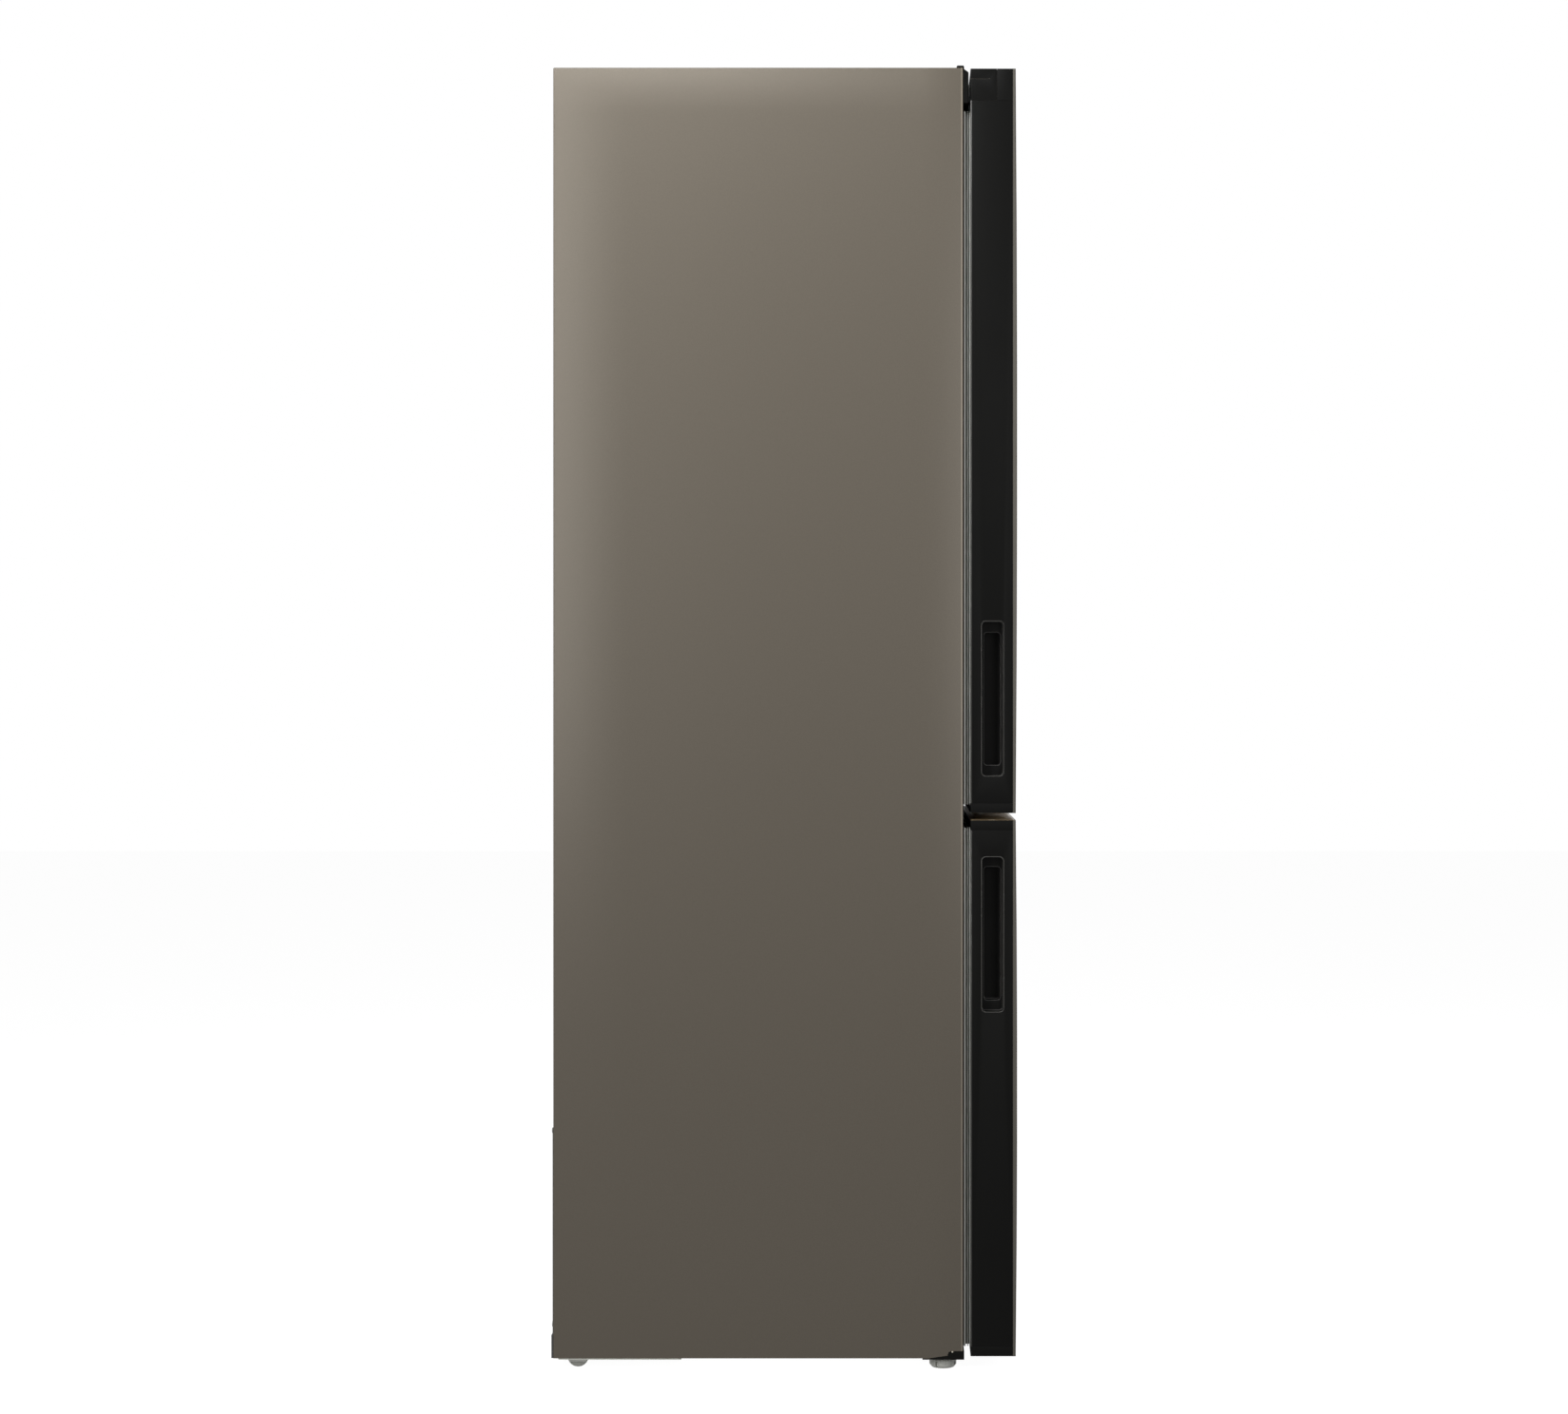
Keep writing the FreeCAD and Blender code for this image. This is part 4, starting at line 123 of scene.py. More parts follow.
class Finish:
    """A material with one Principled shader and a few helpers for the nodes that feed it."""

    def __init__(self, name, colour, roughness, metallic=0.0, specular=0.5):
        self.material = bpy.data.materials.new(name)
        self.material.use_nodes = True
        self.nodes = self.material.node_tree.nodes
        self.links = self.material.node_tree.links
        self.shader = self.nodes["Principled BSDF"]
        self.colour = colour
        self.shader.inputs["Base Color"].default_value = colour
        self.shader.inputs["Roughness"].default_value = roughness
        self.shader.inputs["Metallic"].default_value = metallic
        self.shader.inputs["Specular IOR Level"].default_value = specular
        self.place = self.nodes.new("ShaderNodeTexCoord").outputs["Object"]
        self.height = None

    def along(self, axis):
        """The object's own coordinate along one axis."""
        split = self.nodes.new("ShaderNodeSeparateXYZ")
        self.links.new(self.place, split.inputs["Vector"])
        return split.outputs[axis]

    def stretch(self, x, y, z):
        """The object's own coordinates, scaled along each axis."""
        mapping = self.nodes.new("ShaderNodeMapping")
        mapping.inputs["Scale"].default_value = (x, y, z)
        self.links.new(self.place, mapping.inputs["Vector"])
        return mapping.outputs["Vector"]

    def noise(self, scale, detail=2.0, stretch=(1, 1, 1)):
        node = self.nodes.new("ShaderNodeTexNoise")
        node.inputs["Scale"].default_value = scale
        node.inputs["Detail"].default_value = detail
        self.links.new(self.stretch(*stretch), node.inputs["Vector"])
        return node.outputs["Fac"]

    def ramp(self, source, low, high, to_low, to_high):
        node = self.nodes.new("ShaderNodeMapRange")
        node.inputs["From Min"].default_value = low
        node.inputs["From Max"].default_value = high
        node.inputs["To Min"].default_value = to_low
        node.inputs["To Max"].default_value = to_high
        self.links.new(source, node.inputs["Value"])
        return node.outputs["Result"]

    def vary_colour(self, source, dark, light):
        """Let the colour run between two shares of itself."""
        node = self.nodes.new("ShaderNodeMix")
        node.data_type = "RGBA"
        self.links.new(source, node.inputs["Factor"])
        for name, share in (("A", dark), ("B", light)):
            socket = [item for item in node.inputs if item.name == name and item.type == "RGBA"][0]
            socket.default_value = (*[part * share for part in self.colour[:3]], 1)
        result = [item for item in node.outputs if item.type == "RGBA"][0]
        self.links.new(result, self.shader.inputs["Base Color"])

    def vary_roughness(self, source, low, high):
        rough = self.ramp(source, NOISE_LOW, NOISE_HIGH, low, high)
        self.links.new(rough, self.shader.inputs["Roughness"])

    def bow(self, axis, start, end, degrees):
        """Lean the surface over from one place to another, to a few degrees, as a bowed sheet does."""
        share = self.ramp(self.along(axis), start, end, 0, 1)
        square = self.nodes.new("ShaderNodeMath")
        square.operation = "POWER"
        square.inputs[1].default_value = 2
        self.links.new(share, square.inputs[0])
        drop = self.nodes.new("ShaderNodeMath")
        drop.operation = "SUBTRACT"
        drop.inputs[0].default_value = 1
        self.links.new(square.outputs["Value"], drop.inputs[1])
        fall = math.radians(degrees) * abs(end - start) / 2
        self.bump(drop.outputs["Value"], strength=1, distance=fall)

    def paint_light_past(self, axis, start, end, share):
        """Let the colour turn to a share of itself past a place, to paint a highlight or shade along a folded
        edge.
        """
        colour = self.shader.inputs["Base Color"].links[0].from_socket
        gain = self.ramp(self.along(axis), start, end, 1, share)
        scale = self.nodes.new("ShaderNodeVectorMath")
        scale.operation = "SCALE"
        self.links.new(colour, scale.inputs[0])
        self.links.new(gain, scale.inputs["Scale"])
        self.links.new(scale.outputs["Vector"], self.shader.inputs["Base Color"])

    def bump(self, source, strength, distance=GRAIN_RELIEF):
        node = self.nodes.new("ShaderNodeBump")
        node.inputs["Strength"].default_value = strength
        node.inputs["Distance"].default_value = distance
        self.links.new(source, node.inputs["Height"])
        if self.height is not None:
            self.links.new(self.height, node.inputs["Normal"])
        self.height = node.outputs["Normal"]
        self.links.new(self.height, self.shader.inputs["Normal"])


# The cabinet's sheet: a painted highlight down the front edge and painted shade on the fold beyond it, each
# as how far behind the sheet's front it starts and ends, and the colour's share there
HEM_PAINTED_HIGHLIGHT = (3.5 * MM, 3.1 * MM, 2.0)
FOLD_PAINTED_SHADE = (1.8 * MM, 1.4 * MM, 0.2)

# Where the sheet leans over as it nears an edge: axis, start and end in metres, and degrees
SHEET_BOWS = (("Y", 0.220, 0.330, 6.5), ("Y", -0.195, -0.256, 6.5), ("Z", 1.785, 1.852, 7.0))


def coated_steel():
    """Satin coated sheet: a fine grain, a warm grey-brown, and a slight bow where it nears its edges."""
    finish = Finish("side_steel", linear(93, 87, 78), roughness=0.33, metallic=0.14, specular=0.15)
    grain = finish.noise(scale=1500, detail=3)
    finish.vary_colour(finish.ramp(grain, NOISE_LOW, NOISE_HIGH, 0, 1), dark=0.90, light=1.10)
    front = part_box("cabinet_shell")[0].y
    # A painted highlight down the front edge, then painted shade along the fold beyond it
    for start, end, share in (HEM_PAINTED_HIGHLIGHT, FOLD_PAINTED_SHADE):
        finish.paint_light_past("Y", front + start, front + end, share)
    finish.bump(finish.noise(scale=900), strength=0.10)
    finish.bump(finish.noise(scale=1.1, detail=1), strength=0.2, distance=3 * MM)
    for axis, start, end, degrees in SHEET_BOWS:
        finish.bow(axis, start, end, degrees)
    return finish.material


def brushed_front():
    """The doors' front sheet, brushed crosswise."""
    finish = Finish("front_steel", linear(84, 81, 75), roughness=0.36, metallic=0.4, specular=0.15)
    brush = finish.noise(scale=90, detail=4, stretch=(0.6, 40, 40))
    finish.vary_colour(finish.ramp(brush, NOISE_LOW, NOISE_HIGH, 0, 1), dark=0.88, light=1.08)
    finish.vary_roughness(brush, low=0.28, high=0.42)
    finish.bump(brush, strength=0.05)
    return finish.material


def moulded(name, colour, roughness, grain=1400, depth=0.12, specular=0.5):
    """Moulded plastic with a fine spark-eroded texture: grain is its scale, and depth its strength."""
    finish = Finish(name, colour, roughness, specular=specular)
    texture = finish.noise(grain)
    finish.vary_colour(finish.noise(scale=6), dark=0.94, light=1.06)
    finish.bump(texture, strength=depth)
    finish.vary_roughness(finish.noise(scale=14, detail=3), low=roughness * 0.92, high=roughness * 1.08)
    return finish.material


def galvanised():
    """Zinc-coated sheet with its spangle."""
    finish = Finish("galvanised_steel", linear(156, 156, 152), roughness=0.42, metallic=0.7)
    cells = finish.nodes.new("ShaderNodeTexVoronoi")
    cells.inputs["Scale"].default_value = 90
    finish.links.new(finish.stretch(1, 1, 1), cells.inputs["Vector"])
    spangle = finish.nodes.new("ShaderNodeSeparateColor")
    finish.links.new(cells.outputs["Color"], spangle.inputs["Color"])
    finish.vary_colour(spangle.outputs["Red"], dark=0.86, light=1.06)
    finish.vary_roughness(spangle.outputs["Red"], low=0.36, high=0.5)
    finish.bump(finish.noise(scale=400), strength=0.05)
    return finish.material


def metal(name, colour, roughness):
    """Bare drawn metal, a little uneven in tone and gloss."""
    finish = Finish(name, colour, roughness, metallic=1.0)
    finish.vary_roughness(finish.noise(scale=40, detail=3), low=roughness * 0.8, high=roughness * 1.2)
    finish.vary_colour(finish.noise(scale=25), dark=0.92, light=1.05)
    finish.bump(finish.noise(scale=500), strength=0.05)
    return finish.material


def clear_plastic(name, colour, roughness, alpha):
    """Clear moulded plastic or glass: alpha is the share of the light that it doesn't let through."""
    finish = Finish(name, colour, roughness)
    finish.shader.inputs["Transmission Weight"].default_value = 1.0 - alpha
    finish.shader.inputs["IOR"].default_value = 1.46
    finish.vary_roughness(finish.noise(scale=9), low=roughness, high=roughness * 1.6)
    finish.bump(finish.noise(scale=60), strength=0.03, distance=0.4 * MM)
    return finish.material


def lamp_lens():
    """The lamp's frosted lens, ribbed along its length."""
    finish = Finish("lamp_lens", linear(236, 238, 236), roughness=0.36)
    finish.shader.inputs["Transmission Weight"].default_value = 0.35
    ribs = finish.nodes.new("ShaderNodeTexWave")
    ribs.inputs["Scale"].default_value = 60
    finish.links.new(finish.stretch(1, 0.2, 0.2), ribs.inputs["Vector"])
    finish.bump(ribs.outputs["Fac"], strength=0.6, distance=0.6 * MM)
    finish.vary_colour(finish.noise(scale=20), dark=0.97, light=1.03)
    return finish.material


def insulation():
    """Foam with its cells, pale yellow."""
    finish = Finish("insulation", linear(214, 196, 140), roughness=0.9)
    cells = finish.noise(scale=260, detail=4)
    finish.vary_colour(cells, dark=0.85, light=1.1)
    finish.bump(cells, strength=0.4, distance=1 * MM)
    return finish.material


def gasket_rubber():
    """The seals' soft pale rubber, with faint upright streaks."""
    finish = Finish("gasket_grey", linear(240, 240, 233), roughness=0.34, specular=0.9)
    finish.vary_colour(finish.noise(scale=30, detail=3, stretch=(1, 1, 0.1)), dark=0.9, light=1.06)
    finish.bump(finish.noise(scale=700), strength=0.08)
    return finish.material


MATERIALS = {
    "side_steel": coated_steel(),
    "galvanised_steel": galvanised(),
    "insulation": insulation(),
    "liner_white": moulded("liner_white", linear(232, 234, 234), 0.32, grain=500, depth=0.05),
    "front_steel": brushed_front(),
    "trim_black": moulded("trim_black", linear(11, 11, 10), 0.5, specular=0.06),
    "gasket_grey": gasket_rubber(),
    "shelf_glass": clear_plastic("shelf_glass", linear(226, 240, 234), 0.03, alpha=0.12),
    "drawer_plastic": clear_plastic("drawer_plastic", linear(238, 243, 245), 0.16, alpha=0.20),
    "shelf_lip": moulded("shelf_lip", linear(206, 208, 210), 0.34, grain=700, depth=0.05),
    "compressor_black": moulded("compressor_black", linear(30, 30, 30), 0.32, grain=300, depth=0.08),
    "pan_plastic": moulded("pan_plastic", linear(60, 60, 60), 0.5),
    "copper_pipe": metal("copper_pipe", linear(196, 122, 84), 0.34),
    "condenser_black": moulded("condenser_black", linear(34, 34, 34), 0.36, grain=300, depth=0.08),
    "evaporator_aluminium": metal("evaporator_aluminium", linear(206, 208, 210), 0.38),
    "foot_grey": moulded("foot_grey", linear(240, 241, 233), 0.34),
}

# Finishes of single faces and pieces that look different from the rest of their slot, some of them painted
# light or shade
# Glossier and far paler than the black trim: a painted highlight on rounded rims
RIM_PAINTED_HIGHLIGHT = moulded("rim_painted_highlight", linear(66, 65, 61), 0.26, grain=900, depth=0.04)
# Pale brown on the corner cap's rounded edges: a painted highlight
CAP_RIM_PAINTED_HIGHLIGHT = moulded("cap_rim_painted_highlight", linear(62, 57, 48), 0.35, grain=900, depth=0.04, specular=0.4)
# Beige on the end faces where the doors meet: painted light falling into the gap
CAP_END_PAINTED_LIGHT = moulded("cap_end_painted_light", linear(150, 132, 104), 0.3, grain=900, depth=0.04)
LAMP_LENS = lamp_lens()
# Painted shade for the seal's deep folds
SEAL_FOLD_PAINTED_SHADE = moulded("seal_fold_painted_shade", linear(118, 118, 112), 0.6, grain=300, depth=0.05)
COVER_BLACK = moulded("cover_black", linear(22, 22, 21), 0.45, grain=300, depth=0.06)
TRAY_PAINT = moulded("tray_paint", linear(222, 224, 214), 0.34)
# Near-white for tiny heads: a painted glint
HEAD_PAINTED_GLINT = moulded("head_painted_glint", linear(236, 228, 208), 0.3, grain=900, depth=0.02)


def dress_nodes():
    """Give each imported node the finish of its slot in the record."""
    for node, slot in SLOT_OF.items():
        materials = NODES[node].data.materials
        materials.clear()
        materials.append(MATERIALS[slot])


# Building and easing pieces

WELD_DISTANCE = 1e-6

# Faces closer than the first angle are joined, and edges sharper than the second are rounded over
FLAT_ANGLE = math.radians(1)
SHARP_ANGLE = math.radians(35)
EASE_SEGMENTS = 2

# Edges flatter than this are shaded as one surface, in degrees
SMOOTH_DEGREES = 40
SOFT_DEGREES = 50
SCREW_DEGREES = 30
FOOT_DEGREES = 25


def mesh_piece(name, points, faces, slot):
    """A piece from points in metres and faces, with its slot's finish."""
    mesh = bpy.data.meshes.new(name)
    mesh.from_pydata(points, [], faces)
    mesh.validate()
    mesh.update()
    piece = link(bpy.data.objects.new(name, mesh))
    mesh.materials.append(MATERIALS[slot])
    return piece


def work_piece(name, work, finish):
    """A piece from a worked mesh, which is freed."""
    mesh = bpy.data.meshes.new(name)
    work.to_mesh(mesh)
    work.free()
    piece = link(bpy.data.objects.new(name, mesh))
    mesh.materials.append(finish)
    return piece


def smooth(piece, degrees=SMOOTH_DEGREES):
    """Shade a piece smoothly, apart from edges sharper than an angle."""
    mesh = piece.data
    mesh.shade_smooth()
    work = bmesh.new()
    work.from_mesh(mesh)
    limit = math.radians(degrees)
    for edge in work.edges:
        if len(edge.link_faces) == 2:
            edge.smooth = edge.calc_face_angle(0) < limit
    work.to_mesh(mesh)
    work.free()


def tidy_normals(piece):
    """Turn all of a piece's faces outward."""
    work = bmesh.new()
    work.from_mesh(piece.data)
    bmesh.ops.recalc_face_normals(work, faces=work.faces)
    work.to_mesh(piece.data)
    work.free()


def bake(piece):
    """Apply a piece's modifiers to its mesh."""
    graph = bpy.context.evaluated_depsgraph_get()
    mesh = bpy.data.meshes.new_from_object(piece.evaluated_get(graph))
    piece.modifiers.clear()
    piece.data = mesh


def settle(piece, *nodes):
    """Let a piece ride with the nodes that it stands for, and hide them."""
    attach(piece, BODY_OF[nodes[0]])
    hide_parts(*nodes)


def eased(node, width, segments=EASE_SEGMENTS, rim=None):
    """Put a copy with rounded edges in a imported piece's place, and give its mesh; rim is their finish."""
    mesh = NODES[node].data.copy()
    work = bmesh.new()
    work.from_mesh(mesh)
    bmesh.ops.remove_doubles(work, verts=work.verts, dist=WELD_DISTANCE)
    bmesh.ops.dissolve_limit(work, angle_limit=FLAT_ANGLE, verts=work.verts, edges=work.edges)
    work.to_mesh(mesh)
    work.free()
    piece = link(bpy.data.objects.new(f"{node}_eased", mesh))
    bevel = piece.modifiers.new("ease", "BEVEL")
    bevel.width = width
    bevel.segments = segments
    bevel.limit_method = "ANGLE"
    bevel.angle_limit = SHARP_ANGLE
    if rim is not None:
        mesh.materials.append(rim)
        bevel.material = 1
    bake(piece)
    low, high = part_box(node)
    for vertex in piece.data.vertices:
        vertex.co = [min(max(spot, least), most) for spot, least, most in zip(vertex.co, low, high)]
    smooth(piece)
    settle(piece, node)
    return piece.data


def islands(node):
    """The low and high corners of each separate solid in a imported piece."""
    work = bmesh.new()
    work.from_mesh(NODES[node].data)
    bmesh.ops.remove_doubles(work, verts=work.verts, dist=WELD_DISTANCE)
    seen = set()
    boxes = []
    for start in work.verts:
        if start in seen:
            continue
        seen.add(start)
        queue = [start]
        spots = []
        while queue:
            here = queue.pop()
            spots.append(here.co.copy())
            for edge in here.link_edges:
                other = edge.other_vert(here)
                if other not in seen:
                    seen.add(other)
                    queue.append(other)
        low = Vector(min(spot[axis] for spot in spots) for axis in range(3))
        high = Vector(max(spot[axis] for spot in spots) for axis in range(3))
        boxes.append((low, high))
    work.free()
    return boxes


# A box's faces, its corners counted along x first, then y, then z
BAR_FACES = ((0, 2, 3, 1), (4, 5, 7, 6), (0, 1, 5, 4), (2, 6, 7, 3), (0, 4, 6, 2), (1, 3, 7, 5))


def bars(name, node, boxes, ease):
    """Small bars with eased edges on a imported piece, from low and high corners in millimetres."""
    points, faces = [], []
    for low, high in boxes:
        start = len(points)
        points += [Vector((x, y, z)) * MM for z in (low[2], high[2]) for y in (low[1], high[1])
                   for x in (low[0], high[0])]
        faces += [[start + corner for corner in face] for face in BAR_FACES]
    piece = mesh_piece(name, points, faces, SLOT_OF[node])
    bevel = piece.modifiers.new("ease", "BEVEL")
    bevel.width = ease * MM
    bevel.segments = EASE_SEGMENTS
    bake(piece)
    smooth(piece)
    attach(piece, BODY_OF[node])


def turns(count):
    """Evenly spaced angles once round."""
    return [2 * math.pi * step / count for step in range(count)]


def bridge(work, rings):
    """Faces from each ring of points to the next."""
    for below, above in zip(rings, rings[1:]):
        count = len(below)
        for here in range(count):
            after = (here + 1) % count
            work.faces.new((below[here], below[after], above[after], above[here]))


# Seals

# Each ridge, from the door to the cabinet: where it starts and ends as shares of the way, and how far
# its crest lies behind the seal's face, in millimetres
SEAL_RIDGES = ((0.0, 0.14, 1.5), (0.31, 0.46, 0.6), (0.68, 0.98, 0))
SEAL_POINTS = 13
SEAL_WIDTH = 17 * MM

# The folds' depth, the power that flattens the ridges, the share of the depth that is left along the
# door's top and bottom, and the depth past which a fold gets a darker finish as painted shade
SEAL_VALLEY = 7.2 * MM
SEAL_FLATNESS = 0.3
SEAL_END_SHARE = 0.25
SEAL_SHADE_DEPTH = 3.4 * MM


def seal_side():
    """The seal's outer side, from the door to the cabinet: inset and way out, at each point."""
    spots = []
    for low, high, back in SEAL_RIDGES:
        middle, reach = (low + high) / 2, (high - low) / 2
        for count in range(SEAL_POINTS):
            turn = math.pi * count / (SEAL_POINTS - 1)
            fall = 1 - abs(math.sin(turn)) ** SEAL_FLATNESS
            spots.append((back * MM + (SEAL_VALLEY - back * MM) * fall, middle - reach * math.cos(turn)))
    return spots


def make_seal(node):
    """A bellows seal with three soft ridges and folds between them painted darker as shade, mitred round the
    door.
    """
    low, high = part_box(node)
    side = seal_side()
    loop = side + [(SEAL_WIDTH - inset, out) for inset, out in reversed(side)]
    depth = high.y - low.y
    points = []
    for inset, out in loop:
        y = low.y + depth * out
        rise = inset if inset > SEAL_WIDTH / 2 else inset * SEAL_END_SHARE
        points += [(low.x + inset, y, low.z + rise), (high.x - inset, y, low.z + rise),
                   (high.x - inset, y, high.z - rise), (low.x + inset, y, high.z - rise)]
    faces, in_painted_shade = [], []
    count = len(loop)
    for ring in range(count):
        after = (ring + 1) % count
        insets = (loop[ring][0], loop[after][0])
        for corner in range(4):
            beyond = (corner + 1) % 4
            faces.append((ring * 4 + corner, ring * 4 + beyond, after * 4 + beyond, after * 4 + corner))
            in_painted_shade.append(max(insets) > SEAL_SHADE_DEPTH and min(insets) < SEAL_WIDTH / 2)
    piece = mesh_piece(f"{node}_bellows", points, faces, "gasket_grey")
    # Faces deep in the folds take the painted shade
    piece.data.materials.append(SEAL_FOLD_PAINTED_SHADE)
    for face, folded in zip(piece.data.polygons, in_painted_shade):
        face.material_index = int(folded)
    tidy_normals(piece)
    smooth(piece, SOFT_DEGREES)
    settle(piece, node)


# Screws and pips

SCREW_SIDES = 24
HEAD_HEIGHT = 1.6 * MM

# Rings of a screw, from its shank's end to its crown: share of the radius, and depth as a share of the
# head's height
HEAD_RINGS = ((0.5, 1.9), (0.5, 1), (1.0, 1), (1.0, 0.45), (0.93, 0.18), (0.78, 0.03))

# The cross recess: length and half width of an arm as shares of the radius, and its floor's size and depth
CROSS_ARM = 0.56
CROSS_HALF = 0.12
CROSS_FLOOR = 0.7
CROSS_DEPTH = 0.6

# Rings of a small domed head: share of the radius and of the height
BUTTON_RINGS = ((1.0, 0), (1.0, 0.4), (0.8, 0.8), (0.4, 1))


def make_screws():
    """Each screw with a domed head and a cross recess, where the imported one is."""
    work = bmesh.new()
    for low, high in islands("screws"):
        spread = high - low
        axis = 1 if abs(spread.x - spread.z) < abs(spread.x - spread.y) else 2
        centre = (low + high) / 2
        radius = max(spread.x, spread.z if axis == 1 else spread.y) / 2
        way = 1 if axis == 1 and centre.y > 0 else -1
        face = high[axis] if way > 0 else low[axis]
        add_screw(work, centre, axis, way, face, radius)
    piece = work_piece("screw_heads", work, MATERIALS["galvanised_steel"])
    tidy_normals(piece)
    smooth(piece, SCREW_DEGREES)
    settle(piece, "screws")


def add_screw(work, centre, axis, way, face, radius):
    """A pan head with a cross recess, its crown at the face, and a short shank under it."""
    across, other = [item for item in range(3) if item != axis]

    def spot(u, v, depth):
        place = [0, 0, 0]
        place[across] = centre[across] + u
        place[other] = centre[other] + v
        place[axis] = face - way * depth
        return work.verts.new(place)

    rings = []
    for share, depth in HEAD_RINGS:
        reach, level = radius * share, HEAD_HEIGHT * depth
        rings.append([spot(reach * math.cos(turn), reach * math.sin(turn), level)
                      for turn in turns(SCREW_SIDES)])
    bridge(work, rings)
    work.faces.new(rings[0])
    arm, slot = CROSS_ARM * radius, CROSS_HALF * radius
    cross = [(slot, arm), (slot, slot), (arm, slot), (arm, -slot), (slot, -slot), (slot, -arm),
             (-slot, -arm), (-slot, -slot), (-arm, -slot), (-arm, slot), (-slot, slot), (-slot, arm)]
    top = [spot(u, v, 0) for u, v in cross]
    floor = [spot(u * CROSS_FLOOR, v * CROSS_FLOOR, HEAD_HEIGHT * CROSS_DEPTH) for u, v in cross]
    bridge(work, [top, floor])
    work.faces.new(floor)
    crown_edges = [edge for edge in work.edges if edge.is_boundary
                   and (edge.verts[0] in rings[-1] or edge.verts[0] in top)]
    bmesh.ops.triangle_fill(work, edges=crown_edges, use_beauty=True)


def button(name, node, axis, centre, radius, height, slot, finish=None):
    """A small domed head on a face: its foot's centre is given, and it stands out to the left or up."""
    work = bmesh.new()
    rings = []
    for share, rise in BUTTON_RINGS:
        ring = []
        for turn in turns(SCREW_SIDES):
            across, along = radius * share * math.cos(turn), radius * share * math.sin(turn)
            out = height * rise
            shift = (-out, across, along) if axis == "X" else (across, along, out)
            ring.append(work.verts.new(Vector(centre) + Vector(shift)))
        rings.append(ring)
    bridge(work, rings)
    work.faces.new(rings[0])
    work.faces.new(rings[-1])
    piece = work_piece(name, work, finish or MATERIALS[slot])
    tidy_normals(piece)
    smooth(piece, SOFT_DEGREES)
    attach(piece, BODY_OF[node])


# Feet

FOOT_SIDES = 288
FOOT_FACETS = 16
FOOT_TEETH = 20
FOOT_SLOTS = 4
FOOT_TURN = math.radians(-31)

# The wheel's rings from the floor up: share of the radius, and level in millimetres
FOOT_RINGS = ((0.79, 0), (0.83, 0.3), (0.985, 3.9), (1, 4.7), (1, 5.3), (1, 9.3), (1, 9.5), (1, 11.5),
              (1, 11.7), (0.965, 12.2), (0.975, 12.5), (0.975, 15.1), (0.95, 15.5))

# Slots for a spanner, grooves between facets, and gaps between the crown's teeth: levels, half width round
# the rim, and the share of the radius that is left or taken
SLOT_TOP = 9.4 * MM
SLOT_HALF = 1.3 * MM
SLOT_LEFT = 0.5
GROOVE_LOW = 5.2 * MM
GROOVE_HIGH = 11.6 * MM
GROOVE_HALF = 1.3 * MM
GROOVE_TAKEN = 0.03
TEETH_LOW = 12.3 * MM
TEETH_HIGH = 15.2 * MM
TOOTH_GAP_HALF = 0.9 * MM
TOOTH_GAP_LEFT = 0.95

STUD_SIDES = 24
THREAD_START = 15.45 * MM
THREAD_PITCH = 1.5 * MM
THREAD_ROOT = 4.3 * MM
THREAD_CREST = 5.0 * MM
CREST_START = 0.45
CREST_END = 0.55
STUD_TIP = 3.9 * MM
STUD_CHAMFER = 0.4 * MM


def turned(work, spot, profile, sides, reach=None):
    """A turned form about an upright axis; reach gives a share of the radius at each turn and level."""
    rings = []
    for radius, level in profile:
        ring = []
        for turn in turns(sides):
            share = reach(turn, level) if reach else 1
            ring.append(work.verts.new((spot[0] + radius * share * math.cos(turn),
                                        spot[1] + radius * share * math.sin(turn), level)))
        rings.append(ring)
    bridge(work, rings)
    work.faces.new(list(reversed(rings[0])))
    work.faces.new(rings[-1])


def make_foot(node):
    """A levelling foot: a wheel with grooves, a toothed crown and slots for a spanner, on a threaded stud."""
    low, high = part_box(node)
    spot = (low + high) / 2
    radius = (high.x - low.x) / 2

    def away(turn, count):
        """How far round the rim it is to the nearest of some evenly spaced places."""
        step = 2 * math.pi / count
        return abs((turn - math.pi - FOOT_TURN + step / 2) % step - step / 2) * radius

    def reach(turn, level):
        if level < SLOT_TOP and away(turn, FOOT_SLOTS) < SLOT_HALF:
            return SLOT_LEFT
        if GROOVE_LOW < level < GROOVE_HIGH:
            return 1 - GROOVE_TAKEN * max(0, 1 - away(turn, FOOT_FACETS) / GROOVE_HALF)
        if TEETH_LOW < level < TEETH_HIGH and away(turn, FOOT_TEETH) < TOOTH_GAP_HALF:
            return TOOTH_GAP_LEFT
        return 1

    work = bmesh.new()
    turned(work, spot, [(radius * share, level * MM) for share, level in FOOT_RINGS], FOOT_SIDES, reach)
    thread = []
    level = THREAD_START
    while level < high.z - THREAD_PITCH:
        thread += [(THREAD_ROOT, level), (THREAD_CREST, level + THREAD_PITCH * CREST_START),
                   (THREAD_CREST, level + THREAD_PITCH * CREST_END)]
        level += THREAD_PITCH
    thread += [(THREAD_ROOT, high.z - STUD_CHAMFER), (STUD_TIP, high.z)]
    turned(work, spot, thread, STUD_SIDES)
    piece = work_piece(f"{node}_wheel", work, MATERIALS["foot_grey"])
    tidy_normals(piece)
    smooth(piece, FOOT_DEGREES)
    settle(piece, node)


# Door edges and the low corner's bracket

GRIP_EASE = 0.9 * MM
TRIM_EASE = 0.5 * MM
CORNER_CAP_EASE = 0.7 * MM
CAP_EASE = 0.35 * MM
BRACKET_EASE = 0.25 * MM

# A side trim's rear edge is painted paler and glossier as a highlight: how far its faces lean, and how far
# from the back they lie
HIGHLIGHT_LEAN = 0.2
HIGHLIGHT_REACH = 2.6 * MM

# A cap's end face looks up or down, within this of the cap's end, and is painted pale as the light that falls
# into the gap
END_LEAN = 0.9
END_REACH = 2 * MM

